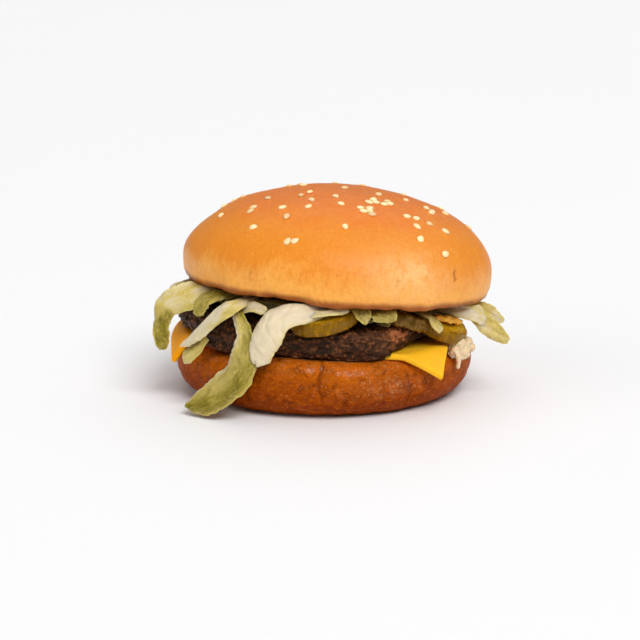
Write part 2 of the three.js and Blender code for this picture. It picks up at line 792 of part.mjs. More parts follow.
// Lays a whole piece: it is cut clear of those laid before it, and the next ones keep clear of it.
function lay(name, whole, looks, neighbours = berths) {
  add(name, cutClear(solidOf(whole), neighbours), looks);
  berths.push(berth(whole));
}

const crown = crownBody();
add("bun_crown", crownGeometry(crown), LOOKS.bun_crown);
berths.push(berth(crown.applyMatrix4(CROWN_TURN)));
lay("bun_heel", heelGeometry(), LOOKS.bun_heel);
for (const [name, slice] of Object.entries(CHEESE_SLICES)) lay(name, cheeseGeometry(slice), LOOKS.cheese);
const pressed = Object.values(CHEESE_SLICES).map((slice) => solidOf(cheeseGeometry(slice, GAP, HEEL.height / 2)));
lay("beef_patty", pattyGeometry(), LOOKS.beef_patty, pressed);
for (const [name, chip] of Object.entries(PICKLES)) lay(name, pickleGeometry(chip), LOOKS.pickle);
lay("sauce_dollop", dollopGeometry(), LOOKS.sauce);
add("shredded_lettuce", cutClear(lettuceSolid(), berths), LOOKS.lettuce);

export default burger;
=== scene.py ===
"""Builds a cheeseburger: seeded crown, shredded lettuce, pickle chips, beef patty, cheese and toasted heel."""

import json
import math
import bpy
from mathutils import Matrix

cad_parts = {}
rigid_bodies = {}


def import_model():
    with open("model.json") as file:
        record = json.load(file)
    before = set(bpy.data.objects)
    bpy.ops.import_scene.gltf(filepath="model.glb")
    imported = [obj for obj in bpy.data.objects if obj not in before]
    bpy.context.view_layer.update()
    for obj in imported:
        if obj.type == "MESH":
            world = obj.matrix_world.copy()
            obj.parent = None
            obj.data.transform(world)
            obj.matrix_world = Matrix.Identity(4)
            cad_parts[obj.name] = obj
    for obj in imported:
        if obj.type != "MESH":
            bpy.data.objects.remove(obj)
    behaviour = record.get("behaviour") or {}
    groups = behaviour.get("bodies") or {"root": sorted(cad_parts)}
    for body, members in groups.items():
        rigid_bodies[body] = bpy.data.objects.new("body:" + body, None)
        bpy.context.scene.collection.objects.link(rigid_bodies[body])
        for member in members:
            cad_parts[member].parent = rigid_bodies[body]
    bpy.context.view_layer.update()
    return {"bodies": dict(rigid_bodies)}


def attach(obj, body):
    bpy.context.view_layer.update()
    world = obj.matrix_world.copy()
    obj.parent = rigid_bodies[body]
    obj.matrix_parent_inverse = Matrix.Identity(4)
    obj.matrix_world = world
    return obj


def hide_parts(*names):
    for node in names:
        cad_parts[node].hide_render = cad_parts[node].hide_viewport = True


bl_info = {
    "name": "Cheeseburger Kitchen",
    "version": (1, 0, 0),
    "blender": (4, 5, 0),
    "location": "View3D > Sidebar > Burger",
    "description": "Builds a seeded cheeseburger with cheese, pickle chips and shredded lettuce",
    "category": "Object",
}

import bpy
import numpy as np
from bpy.props import FloatProperty, FloatVectorProperty, IntProperty, PointerProperty
from mathutils import Matrix, Vector

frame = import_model()
BODY = next(iter(frame["bodies"]))

# Shapes are worked out in millimetres and written to the meshes in metres.
MM = 0.001
# Room between two layers that lie on each other.
GAP = 0.3

# ---- Settings ---------------------------------------------------------------------------------------


def srgb(red, green, blue):
    """A display colour from 0 to 255 as the linear colour that shaders take."""
    shares = (value / 255 for value in (red, green, blue))
    return tuple(v / 12.92 if v <= 0.04045 else ((v + 0.055) / 1.055) ** 2.4 for v in shares)


def quantity(name, description, default, **options):
    return FloatProperty(name=name, description=description, default=default, **options)


def length(name, description, millimetres):
    return quantity(name, description, millimetres * MM, min=0.0, unit="LENGTH", subtype="DISTANCE")


def angle(name, description, degrees):
    return quantity(name, description, math.radians(degrees), subtype="ANGLE")


def share(name, description, default):
    return quantity(name, description, default, min=0.0, max=1.0, subtype="FACTOR")


def strength(name, description, default):
    return quantity(name, description, default, min=0.0)


def count(name, description, default):
    return IntProperty(name=name, description=description, default=default, min=0)


def colour(name, description, *levels):
    return FloatVectorProperty(
        name=name, description=description, default=srgb(*levels), min=0.0, max=1.0, size=3, subtype="COLOR"
    )


class CrownSettings(bpy.types.PropertyGroup):
    radius: length("Radius", "Radius of the crown at its widest ring", 57.2)
    height: length("Height", "Height of the crown above its underside", 37)
    roll: angle("Roll", "How far the crown leans down to its right", 4.5)
    lean: angle("Lean", "How far the crown leans back", 2.2)
    edge_crust: colour("Edge crust", "Dark toasted line round the lower edge", 146, 68, 16)
    pale_crust: colour("Pale crust", "Pale gold just above the lower edge", 244, 171, 75)
    golden_crust: colour("Golden crust", "Crust of the sides", 231, 140, 34)
    baked_crust: colour("Baked crust", "Crust of the top", 228, 122, 30)
    gloss: share("Gloss", "Weight of the glaze on the crust", 0.06)


class SeedSettings(bpy.types.PropertyGroup):
    length: length("Length", "Length of a sesame seed", 3.3)
    width: length("Width", "Width of a sesame seed", 2.4)
    thickness: length("Thickness", "Thickness of a sesame seed", 1.4)
    hull: colour("Hull", "Colour of the sesame hulls", 252, 222, 168)


class HeelSettings(bpy.types.PropertyGroup):
    radius: length("Radius", "Radius of the heel at its widest ring", 55.5)
    height: length("Height", "Height of the heel", 19.7)
    rim_crust: colour("Rim crust", "Crust below the cut face", 182, 90, 12)
    side_crust: colour("Side crust", "Crust of the side", 162, 74, 4)
    # The darker foot crust is partly painted shade.
    foot_crust: colour("Foot crust", "Crust near the foot", 148, 60, 0)
    gloss: share("Gloss", "How much the dullest of the crust shines", 0.07)


class CheeseSettings(bpy.types.PropertyGroup):
    side: length("Side", "Side of a square slice", 74)
    thickness: length("Thickness", "Thickness of a slice", 2.2)
    tone: colour("Tone", "Colour of the cheese", 255, 188, 40)


class PattySettings(bpy.types.PropertyGroup):
    radius: length("Radius", "Radius of the patty", 50)
    crumb_size: length("Crumb size", "Size of the minced crumbs", 1.7)
    crumb_depth: length("Crumb depth", "How far the crumbs stand out", 0.85)
    grain_size: length("Grain size", "Size of the finer grain", 0.75)
    grain_depth: length("Grain depth", "How far the finer grain stands out", 0.36)
    loose_crumbs: count("Loose crumbs", "Crumbs on each square centimetre of the surface", 30)
    meat: colour("Meat", "Colour of the browned crumbs", 132, 78, 44)
    # Painted shade for the hollows between the crumbs.
    char: colour("Char", "Colour of the seared hollows", 34, 18, 10)


class PickleSettings(bpy.types.PropertyGroup):
    thickness: length("Thickness", "Thickness of a pickle chip", 5)
    flesh: colour("Flesh", "Colour of the cut face", 190, 148, 16)
    rind: colour("Rind", "Colour of the rind", 160, 112, 0)
    steeped: colour("Steeped", "Colour of a chip that has turned brown", 96, 66, 14)


class LettuceSettings(bpy.types.PropertyGroup):
    thickness: length("Thickness", "Thickness of a leaf", 0.8)
    rib: colour("Rib", "Colour of the ribs and the pale hearts", 230, 214, 182)
    pale: colour("Pale leaf", "Colour of the pale inner leaf", 206, 184, 104)
    green: colour("Green leaf", "Colour of the outer leaf", 136, 122, 22)


class SauceSettings(bpy.types.PropertyGroup):
    dressing: colour("Dressing", "Colour of the creamy dressing", 232, 206, 164)
    relish: colour("Relish", "Colour of the orange relish", 250, 176, 44)


class StageSettings(bpy.types.PropertyGroup):
    floor: colour("Floor", "Colour of the floor", 249, 249, 250)
    key: strength("Key light", "Strength of the soft light at the front right", 2.25)
    top: strength("Top light", "Strength of the soft light above and behind", 0.75)
    fill: strength("Fill light", "Strength of the soft light at the left", 0.5)
    sky: share("Sky", "Brightness of the light from all round", 0.27)


class BurgerSettings(bpy.types.PropertyGroup):
    crown: PointerProperty(type=CrownSettings)
    seeds: PointerProperty(type=SeedSettings)
    heel: PointerProperty(type=HeelSettings)
    cheese: PointerProperty(type=CheeseSettings)
    patty: PointerProperty(type=PattySettings)
    pickles: PointerProperty(type=PickleSettings)
    lettuce: PointerProperty(type=LettuceSettings)
    sauce: PointerProperty(type=SauceSettings)
    stage: PointerProperty(type=StageSettings)


# ---- Seeded unevenness ------------------------------------------------------------------------------

WORD = 0xFFFFFFFF
WORDS = WORD + 1


def random_from(seed):
    """Numbers from 0 to 1 that come out the same every time for one seed."""
    state = seed & WORD

    def draw():
        nonlocal state
        state = (state + 0x6D2B79F5) & WORD
        mixed = ((state ^ (state >> 15)) * (1 | state)) & WORD
        mixed = ((mixed + (mixed ^ (mixed >> 7)) * (61 | mixed)) & WORD) ^ mixed
        return ((mixed ^ (mixed >> 14)) & WORD) / WORDS

    return draw


def smooth(value, low, high):
    """A rise from 0 at the low value to 1 at the high one, level at both."""
    along = np.clip((value - low) / (high - low), 0, 1)
    return along * along * (3 - 2 * along)


def mix(start, end, along):
    return start + (end - start) * along


def lattice_value(x, y, z):
    """A value from 0 to 1 for each corner of a lattice."""
    mixed = (x * 374761393 + y * 668265263 + z * 1440662683) & WORD
    mixed = ((mixed ^ (mixed >> 13)) * 1274126177) & WORD
    return ((mixed ^ (mixed >> 16)) & WORD) / WORDS


def lumps(x, y, z):
    """Smooth lumps from -1 to 1, one lump to each unit of length."""
    axes = np.broadcast_arrays(x, y, z)
    corner = [np.floor(axis).astype(np.int64) for axis in axes]
    part = [smooth(axis - low, 0, 1) for axis, low in zip(axes, corner)]
    total = 0
    for k in range(8):
        step = (k & 1, (k >> 1) & 1, k >> 2)
        weight = np.prod([p if s else 1 - p for p, s in zip(part, step)], axis=0)
        total = total + weight * lattice_value(*(low + s for low, s in zip(corner, step)))
    return 2 * total - 1


def lumps_at(points, size, offset=0.0):
    """Lumps of one size in millimetres at an array of points."""
    return lumps(*(points.T / size + offset))


def hump(value, centre, width):
    """How near values are to a centre, as a hump from 0 to 1."""
    return np.exp(-(((value - centre) / width) ** 2))


def away(azimuth, centre):
    """Degrees, from -180 to 180, from a centre in degrees to azimuths in radians."""
    return (np.degrees(azimuth) - centre + 540) % 360 - 180


def bump(azimuth, centre, width):
    """How near azimuths in radians are to a centre in degrees, as a hump of a width in degrees."""
    return hump(away(azimuth, centre), 0, width)


def waves(azimuth, *terms):
    """Waves that run round a shape, each as (size, number of waves, phase)."""
    return sum(size * np.cos(number * azimuth + phase) for size, number, phase in terms)


# ---- Points and meshes ------------------------------------------------------------------------------


def polar(degrees, reach, height):
    """Points by their azimuth from -Y round to +X, their distance from the middle and their height."""
    turn = np.radians(degrees)
    axes = np.broadcast_arrays(reach * np.sin(turn), -reach * np.cos(turn), height)
    return np.stack(axes, -1).astype(float)


def azimuth_of(points):
    return np.arctan2(points[..., 0], -points[..., 1])


def reach_of(points):
    return np.hypot(points[..., 0], points[..., 1])


def unit(vectors):
    return vectors / np.maximum(np.linalg.norm(vectors, axis=-1, keepdims=True), 1e-9)


def carried(points, matrix):
    return points @ matrix[:3, :3].T + matrix[:3, 3]


def quarter(start, end, power, steps, upright_first=False):
    """Profile points of a quarter of a superellipse, level at its start unless upright is first."""
    turn = np.linspace(0, math.pi / 2, steps + 1)
    fast = np.abs(np.sin(turn)) ** (2 / power)
    slow = 1 - np.abs(np.cos(turn)) ** (2 / power)
    across, up = (slow, fast) if upright_first else (fast, slow)
    return np.stack([mix(start[0], end[0], across), mix(start[1], end[1], up)], -1)


def straight(start, end, steps):
    """Profile points of a straight run, without its last one."""
    return np.linspace(start, end, steps + 1)[:-1]


def turned(segments, *parts):
    """Points and faces of a profile turned round +Z, from the middle of its foot to that of its top.

    Where a part of the profile starts on the last point before it, that point is taken once."""
    profile = np.array(parts[0], float)
    for part in parts[1:]:
        repeated = np.allclose(part[0], profile[-1])
        profile = np.concatenate([profile, part[int(repeated):]])
    turn = np.arange(segments) * 2 * math.pi / segments
    rings = profile[1:-1]
    points = polar(np.degrees(turn)[None, :], rings[:, :1], rings[:, 1:]).reshape(-1, 3)
    points = np.concatenate([points, [[0, 0, profile[0][1]], [0, 0, profile[-1][1]]]])
    row, step = np.meshgrid(np.arange(len(rings) - 1), np.arange(segments), indexing="ij")
    ahead = (step + 1) % segments
    low, high = row * segments, (row + 1) * segments
    quads = np.stack((low + step, low + ahead, high + ahead, high + step), -1).reshape(-1, 4)
    near, far = np.arange(segments), (np.arange(segments) + 1) % segments
    last = (len(rings) - 1) * segments
    foot = np.stack([np.full(segments, len(points) - 2), far, near], -1)
    top = np.stack([np.full(segments, len(points) - 1), last + near, last + far], -1)
    return points, [quads, np.concatenate([foot, top])]


def sheet(middle, normal, thickness):
    """Points and faces of a closed sheet over a grid of middle points, each with its own thickness."""
    rows, columns = middle.shape[:2]
    push = normal * (thickness / 2)[..., None]
    points = np.concatenate([(middle + push).reshape(-1, 3), (middle - push).reshape(-1, 3)])
    over = np.arange(rows * columns).reshape(rows, columns)
    under = over + rows * columns
    upper = np.stack([over[:-1, :-1], over[1:, :-1], over[1:, 1:], over[:-1, 1:]], -1).reshape(-1, 4)
    lower = upper[:, ::-1] + rows * columns
    rim, low = (np.concatenate([g[0, :], g[1:, -1], g[-1, -2::-1], g[-2:0:-1, 0]]) for g in (over, under))
    edge = np.stack([rim, np.roll(rim, -1), np.roll(low, -1), low], -1)
    return points, [np.concatenate([upper, lower, edge])]


def joined(parts):
    """Several (points, faces, marks) as one."""
    points, groups, marks, start = [], {}, {}, 0
    for part_points, part_faces, part_marks in parts:
        points.append(part_points)
        for faces in part_faces:
            groups.setdefault(faces.shape[1], []).append(faces + start)
        for name, values in part_marks.items():
            marks.setdefault(name, []).append(np.broadcast_to(values, len(part_points)))
        start += len(part_points)
    faces = [np.concatenate(group) for group in groups.values()]
    return np.concatenate(points), faces, {name: np.concatenate(values) for name, values in marks.items()}


def make_mesh(name, points, faces, marks=None):
    """A smooth mesh from points in millimetres. A mark is a value or vector for each point, or one for all."""
    mesh = bpy.data.meshes.new(name)
    mesh.vertices.add(len(points))
    mesh.vertices.foreach_set("co", (points * MM).astype(np.float32).ravel())
    corners = np.concatenate([group.ravel() for group in faces])
    sizes = np.concatenate([np.full(len(group), group.shape[1]) for group in faces])
    mesh.loops.add(len(corners))
    mesh.loops.foreach_set("vertex_index", corners.astype(np.int32))
    mesh.polygons.add(len(sizes))
    mesh.polygons.foreach_set("loop_start", (np.cumsum(sizes) - sizes).astype(np.int32))
    mesh.update(calc_edges=True)
    mesh.shade_smooth()
    for mark, values in (marks or {}).items():
        values = np.asarray(values, np.float32)
        kind, field = ("FLOAT_VECTOR", "vector") if values.ndim == 2 else ("FLOAT", "value")
        each = values.ravel() if values.ndim else np.full(len(points), values)
        mesh.attributes.new(mark, kind, "POINT").data.foreach_set(field, each)
    return mesh


def normals_of(points, faces):
    """Outward unit normals of the points of a closed shape."""
    mesh = make_mesh("measure", points, faces)
    normals = np.zeros(len(points) * 3, np.float32)
    mesh.vertex_normals.foreach_get("vector", normals)
    bpy.data.meshes.remove(mesh)
    return normals.reshape(-1, 3).astype(float)


def settled(context, base, dress):
    """The plain mesh that the modifiers make of a base mesh, under its name. Dress adds them to its object."""
    name = base.name
    holder = bpy.data.objects.new(name, base)
    context.scene.collection.objects.link(holder)
    dress(holder)
    context.view_layer.update()
    mesh = bpy.data.meshes.new_from_object(holder.evaluated_get(context.evaluated_depsgraph_get()))
    bpy.data.objects.remove(holder)
    bpy.data.meshes.remove(base)
    mesh.name = name
    return mesh


def place(context, mesh, material, slot, *nodes):
    """Shows a finished mesh on the burger in place of its solids."""
    mesh.materials.clear()
    mesh.materials.append(material)
    piece = bpy.data.objects.new(mesh.name, mesh)
    context.scene.collection.objects.link(piece)
    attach(piece, BODY)
    if nodes:
        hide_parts(*nodes)


# ---- Node trees -------------------------------------------------------------------------------------

# Spacing of the nodes in the editor, and how many stand in a row.
NODE_SPACING = (190, 260)
NODES_IN_ROW = 12


def linked(value):
    return isinstance(value, bpy.types.NodeSocket)


class Graph:
    """Adds nodes to a tree. An input takes a number, a colour or another node's output."""

    def __init__(self, tree):
        self.tree = tree

    def feed(self, socket, value):
        if linked(value):
            self.tree.links.new(value, socket)
        else:
            socket.default_value = value

    def add(self, kind, inputs=None, **settings):
        node = self.tree.nodes.new(kind)
        row, column = divmod(len(self.tree.nodes), NODES_IN_ROW)
        node.location = (NODE_SPACING[0] * column, -NODE_SPACING[1] * row)
        for name, value in settings.items():
            setattr(node, name, value)
        for name, value in (inputs or {}).items():
            self.feed(node.inputs[name], value)
        return node

    def math(self, operation, *values):
        return self.add("ShaderNodeMath", dict(enumerate(values)), operation=operation).outputs[0]

    def times(self, first, *others):
        for other in others:
            first = self.math("MULTIPLY", first, other)
        return first

    def plus(self, first, second):
        return self.math("ADD", first, second)

    def minus(self, first, second):
        return self.math("SUBTRACT", first, second)

    def vector(self, operation, first, second):
        inputs = {0: first, "Scale" if operation == "SCALE" else 1: second}
        return self.add("ShaderNodeVectorMath", inputs, operation=operation).outputs[0]


class Finish(Graph):
    """A surface material whose patterns lie in the burger's own coordinates, with sizes in millimetres."""

    def __init__(self, name, **surface):
        self.material = bpy.data.materials.new(name)
        self.material.use_nodes = True
        super().__init__(self.material.node_tree)
        self.shader = self.tree.nodes["Principled BSDF"]
        for title, value in surface.items():
            socket = self.shader.inputs[title.replace("_", " ")]
            socket.default_value = (*value, 1) if socket.type == "RGBA" else value
        self.spot = self.tree.nodes.new("ShaderNodeTexCoord").outputs["Object"]

    def mark(self, name):
        return self.add("ShaderNodeAttribute", attribute_name=name).outputs["Fac"]

    def stretched(self, x, y, z):
        """Coordinates for a pattern that is longer along some axes."""
        return self.add("ShaderNodeMapping", {"Vector": self.spot, "Scale": (1 / x, 1 / y, 1 / z)}).outputs[0]

    def noise(self, size, detail=3.0, roughness=0.5, distortion=0.0, at=None):
        inputs = {
            "Vector": at or self.spot,
            "Scale": 1 / (size * MM),
            "Detail": detail,
            "Roughness": roughness,
            "Distortion": distortion,
        }
        return self.add("ShaderNodeTexNoise", inputs).outputs["Fac"]

    def cells(self, size, feature="F1", at=None):
        inputs = {"Vector": at or self.spot, "Scale": 1 / (size * MM)}
        return self.add("ShaderNodeTexVoronoi", inputs, feature=feature).outputs["Distance"]

    def fit(self, value, low, high, to_low=0.0, to_high=1.0):
        """A value from one range fitted softly to another, and held inside it."""
        inputs = {"Value": value, "From Min": low, "From Max": high, "To Min": to_low, "To Max": to_high}
        return self.add("ShaderNodeMapRange", inputs, interpolation_type="SMOOTHSTEP").outputs[0]

    def sum(self, first, *terms):
        """The first value with each (value, weight) added, a value of 0.5 adding nothing."""
        total = first
        for value, weight in terms:
            total = self.plus(total, self.times(self.minus(value, 0.5), weight))
        return total

    def ramp(self, value, *stops):
        """A colour between the (position, colour) stops."""
        node = self.add("ShaderNodeValToRGB", {"Fac": value})
        elements = node.color_ramp.elements
        while len(elements) < len(stops):
            elements.new(0.5)
        for element, (position, tone) in zip(elements, stops):
            element.position = position
            element.color = (*tone, 1)
        return node.outputs["Color"]

    def blend(self, amount, under, over):
        """One colour laid over another by an amount from 0 to 1."""
        node = self.add("ShaderNodeMix", {0: amount}, data_type="RGBA")
        for entry, tone in ((6, under), (7, over)):
            self.feed(node.inputs[entry], tone if linked(tone) else (*tone, 1))
        return node.outputs[2]

    def seen_square(self):
        """How squarely the surface is seen, for a gloss that fades at the outline."""
        facing = self.add("ShaderNodeLayerWeight", {"Blend": 0.5}).outputs["Facing"]
        return self.fit(facing, 0.78, 0.5)

    def drive(self, socket, value):
        self.tree.links.new(value, self.shader.inputs[socket])

    def paint(self, tone):
        self.drive("Base Color", tone)

    def roughen(self, value, smoothest, roughest, low=0.3, high=0.7):
        """A roughness that follows a pattern."""
        self.drive("Roughness", self.fit(value, low, high, smoothest, roughest))

    def relief(self, *layers):
        """Fine relief from (height, depth in millimetres) layers, one on the other."""
        normal = None
        for height, depth in layers:
            inputs = {"Height": height, "Strength": 1.0, "Distance": depth * MM}
            if normal:
                inputs["Normal"] = normal
            normal = self.add("ShaderNodeBump", inputs).outputs[0]
        self.drive("Normal", normal)


def scaled(tone, by):
    return tuple(min(1.0, level * by) for level in tone)


def mix_tone(first, second, along):
    return tuple(mix(a, b, along) for a, b in zip(first, second))


class Grower(Graph):
    """A Geometry Nodes tree with named inputs for its sizes, which ends in one plain painted mesh."""

    def __init__(self, name, *sizes):
        super().__init__(bpy.data.node_groups.new(name, "GeometryNodeTree"))
        sockets = self.tree.interface
        for way in ("INPUT", "OUTPUT"):
            sockets.new_socket("Geometry", in_out=way, socket_type="NodeSocketGeometry")
        for size in sizes:
            sockets.new_socket(size, in_out="INPUT", socket_type="NodeSocketFloat")
        self.given = self.tree.nodes.new("NodeGroupInput").outputs

    def named(self, name, kind="FLOAT"):
        """The value of a mark."""
        return self.add("GeometryNodeInputNamedAttribute", {"Name": name}, data_type=kind).outputs[0]

    def shaded(self, geometry):
        return self.add("GeometryNodeSetShadeSmooth", {"Geometry": geometry}).outputs[0]

    def strewn(self, points, instance, aim, scale):
        """An instance on each point, turned by Euler angles."""
        turn = self.add("FunctionNodeEulerToRotation", {0: aim}).outputs[0]
        inputs = {"Points": points, "Instance": instance, "Rotation": turn, "Scale": scale}
        return self.add("GeometryNodeInstanceOnPoints", inputs).outputs[0]

    def end(self, geometry, material):
        plain = self.add("GeometryNodeRealizeInstances", {"Geometry": geometry}).outputs[0]
        painted = self.add("GeometryNodeSetMaterial", {"Geometry": plain, "Material": material}).outputs[0]
        self.tree.links.new(painted, self.tree.nodes.new("NodeGroupOutput").inputs[0])

    def grow(self, context, base, values):
        """The plain mesh that the tree makes of a base mesh, with a value for each size."""

        def dress(holder):
            modifier = holder.modifiers.new(self.tree.name, "NODES")
            modifier.node_group = self.tree
            for item in self.tree.interface.items_tree:
                if item.in_out == "INPUT" and item.name in values:
                    modifier[item.identifier] = values[item.name]

        return settled(context, base, dress)


# ---- Crown ------------------------------------------------------------------------------------------

# The flat underside ends at this distance, and the widest ring is this high.
CROWN_UNDER = 54.4
CROWN_WIDEST = 8.0
CROWN_MIDDLE = (4.0, 0.0, 38.4)
DOME_POWER = 2.05
LOWER_POWER = 2.3
CROWN_SEGMENTS = 500
# Radius of the first ring, and the steps of the profile along the underside, the lower rounding and the dome.
CROWN_FIRST = 6
CROWN_STEPS = (12, 26, 122)
CROWN_WAVES = ((0.008, 2, -2.6), (0.006, 3, 0.4))
# Azimuth, width in degrees, depth, height and reach of each shallow dent.
CROWN_DENTS = (
    (-88, 42, 2.4, 24, 9), (27, 7, 0.9, 15, 8), (62, 9, 0.7, 12, 7), (148, 8, 0.9, 12, 8),
    (-140, 7, 0.8, 10, 8),
)
# Azimuth and width of the side that has sunk, the share of its height that it has lost, and where that starts
# and ends.
CROWN_SLUMP = (-80, 55, 0.035, 5, 32)
# Azimuth, width and height of the part of the lower edge that bows up.
CROWN_BOW = (-22, 15, 1.2)
# Azimuth and width, height and reach of the pale patch at the front right, partly paler crust and partly a
# painted highlight of the key light.
CROWN_BLEACHED = (27, 17, 12, 8)
# Azimuth, lowest and highest point and strength of each fine crack in the crust.
CROWN_CRACKS = (
    (46, 9, 15, 1), (-32.5, 5, 11, 0.5), (20, 8, 13, 0.4), (128, 7, 15, 1), (-98, 6, 12, 0.5),
    (-158, 8, 15, 0.8),
)
CRACK_DEPTH = 0.4
# Width of a crack and how far it wanders, in degrees.
CRACK_WIDTH, CRACK_WANDER = 0.5916, 1.2
# Distance, width and height of the ring that swells round a seed, and width and depth of the hollow below it.
SEED_RING = (2.3, 0.8, 0.14)
SEED_HOLLOW = (1.7, 0.22)
# Azimuth and share of the way down of each seed that lies on its own.
SEED_STRAYS = (
    (-41, 0.64), (-21.5, 0.71), (-18.6, 0.7), (-29, 0.51), (-37, 0.43), (-74, 0.62), (-56.5, 0.475),
    (-54, 0.515), (-62, 0.36), (-40, 0.27), (-25, 0.31), (-22, 0.39), (-8, 0.24), (-2, 0.33), (1, 0.55),
    (35, 0.63), (44, 0.75), (54, 0.58), (94, 0.62), (83, 0.46), (38, 0.44), (43, 0.46), (38, 0.53), (48, 0.51),
    (66, 0.28), (118, 0.8), (176, 0.84), (-150, 0.76),
)
# Azimuth, share of the way down, spread and number of seeds of each clump, and the radius that turns a spread
# into an angle.
SEED_CLUMPS = ((15, 0.39, 3.4, 5), (24.5, 0.29, 3, 3), (36, 0.31, 3, 3), (67, 0.41, 3.2, 3), (150, 0.4, 3.6, 4))
CLUMP_RADIUS = 57.2
# Seeds laid out in a spiral, of which those near the top and at the back are kept.
SPIRAL_SEEDS = 58
SPIRAL_TURN = 137.508
SPIRAL_TOP, SPIRAL_BACK = 0.24, 98
# How far a seed stands off the crust, and the seed of the draws that lay them.
SEED_LIFT = 0.12
SEED_DRAWS = 20417


def crown_frame(crown):
    """The crown's own level frame, in millimetres, as a matrix into the burger's."""
    tilt = Matrix.Rotation(-crown.lean, 4, "X") @ Matrix.Rotation(crown.roll, 4, "Y")
    return np.array(Matrix.Translation(CROWN_MIDDLE) @ tilt)


def crown_flat(crown, x, y):
    """Height of the crown's level underside over points of the plan."""
    normal = crown_frame(crown)[:3, 2]
    rise = (x - CROWN_MIDDLE[0]) * normal[0] + (y - CROWN_MIDDLE[1]) * normal[1]
    return CROWN_MIDDLE[2] - rise / normal[2]


def crown_floor(crown, x, y):
    """Height of the crown's lower skin over points of the plan, which is out of reach past its widest ring."""
    reach = np.hypot(x - CROWN_MIDDLE[0], y - CROWN_MIDDLE[1])
    fast = np.clip((reach - CROWN_UNDER) / (crown.radius / MM - CROWN_UNDER), 0, 1)
    turn = np.arcsin(fast ** (LOWER_POWER / 2))
    rounding = CROWN_WIDEST * (1 - np.cos(turn) ** (2 / LOWER_POWER))
    return np.where(fast < 1, crown_flat(crown, x, y) + rounding, 1e3)


def crown_shaped(points):
    """Points of the crown in its level frame, made uneven."""
    radius = np.maximum(reach_of(points), 1e-6)
    azimuth, rise = azimuth_of(points), points[:, 2]
    side = smooth(radius, 20, CROWN_UNDER)
    out = 1 + side * waves(azimuth, *CROWN_WAVES)
    for centre, width, depth, height, reach in CROWN_DENTS:
        out -= depth / radius * side * hump(rise, height, reach) * bump(azimuth, centre, width)
    out += 0.35 / radius * side * lumps_at(points, 14)
    centre, width, lost, start, end = CROWN_SLUMP
    sunk = 1 - lost * smooth(radius, start, end) * bump(azimuth, centre, width)
    return points * np.stack([out, out, sunk], -1)


def dome_points(crown, azimuth, down):
    """Points of the dome in its level frame: down is 0 at the top and 1 at the widest ring."""
    turn = (1 - np.asarray(down)) * math.pi / 2
    radius = crown.radius / MM * np.cos(turn) ** (2 / DOME_POWER)
    height = mix(CROWN_WIDEST, crown.height / MM, np.sin(turn) ** (2 / DOME_POWER))
    return crown_shaped(polar(np.degrees(azimuth), radius, height).reshape(-1, 3))


def seed_places():
    """Azimuth, share of the way down, turn and size of every seed."""
    random = random_from(SEED_DRAWS)
    places = []
    for i in range(SPIRAL_SEEDS):
        degrees = i * SPIRAL_TURN + 26 * (random() - 0.5)
        down = 0.04 + 0.58 * math.sqrt((i + 0.5) / SPIRAL_SEEDS) + 0.05 * (random() - 0.5)
        seed = (math.radians(degrees), down, math.pi * random(), 0.88 + 0.24 * random())
        if down < SPIRAL_TOP or abs((degrees + 180) % 360 - 180) > SPIRAL_BACK:
            places.append(seed)
    for degrees, down in SEED_STRAYS:
        places.append((math.radians(degrees), down, math.pi * random(), 0.9 + 0.2 * random()))
    for degrees, down, spread, number in SEED_CLUMPS:
        for i in range(number):
            around = 2.4 * i + 0.6 * random()
            out = spread * math.sqrt((i + 0.2) / number) / CLUMP_RADIUS
            azimuth = math.radians(degrees) + out * math.cos(around) / math.sin(1.5 * down)
            lower = down + 0.75 * out * math.sin(around)
            places.append((azimuth, lower, math.pi * random(), 0.84 + 0.24 * random()))
    return np.array(places)


def crown_finish(crown):
    finish = Finish(
        "bun_crust",
        Specular_IOR_Level=0.2,
        Subsurface_Weight=0.12,
        Subsurface_Scale=0.004,
        Subsurface_Radius=(1.0, 0.45, 0.15),
        Coat_Weight=crown.gloss,
        Coat_Roughness=0.3,
    )
    rise = finish.mark("rise")
    broad, patch, fine = finish.noise(26, 2), finish.noise(7, 4, 0.6), finish.noise(1.1, 4, 0.6)
    streaks = finish.noise(1.3, 3, 0.6, at=finish.stretched(1, 1, 3))
    uneven = finish.sum(0.0, (broad, 0.36), (patch, 0.2), (streaks, 0.22))
    crust = finish.ramp(
        finish.plus(rise, finish.times(uneven, finish.fit(rise, 0.0, 0.3, 0.3, 1.0))),
        (0.0, crown.pale_crust),
        (0.16, crown.pale_crust),
        (0.36, crown.golden_crust),
        (0.62, crown.golden_crust),
        (0.85, crown.baked_crust),
        (1.0, scaled(crown.baked_crust, 0.92)),
    )
    # The pale patch is partly paler crust and partly a painted highlight where the key light falls.
    pale = finish.times(
        finish.mark("pale"), finish.fit(finish.sum(streaks, (patch, 0.8)), 0.3, 0.7, 0.35, 1.0)
    )
    bleached = finish.blend(pale, crust, (1.0, 0.62, 0.26))
    streaky = finish.blend(
        finish.fit(streaks, 0.44, 0.66, 0.0, 0.2), bleached, scaled(crown.baked_crust, 0.9)
    )
    mottled = finish.blend(finish.fit(fine, 0.42, 0.68, 0.0, 0.2), streaky, scaled(crown.baked_crust, 0.85))
    flecked = finish.blend(
        finish.fit(finish.cells(1.6), 0.26, 0.1, 0.0, 0.34), mottled, scaled(crown.pale_crust, 1.12)
    )
    ragged = finish.sum(rise, (patch, 0.05), (fine, 0.03))
    broken = finish.fit(finish.noise(12, 3, 0.6), 0.22, 0.46)
    toasted = finish.times(finish.fit(ragged, 0.09, 0.025), broken, 0.9)
    edged = finish.blend(toasted, flecked, crown.edge_crust)
    # Painted shade in the bottoms of the cracks.
    finish.paint(finish.blend(finish.mark("scorch"), edged, (0.3, 0.07, 0.004)))
    finish.roughen(patch, 0.34, 0.5)
    finish.relief((finish.noise(3.2, 3), 0.3), (streaks, 0.2), (finish.noise(0.6, 3, 0.7), 0.12))
    return finish.material


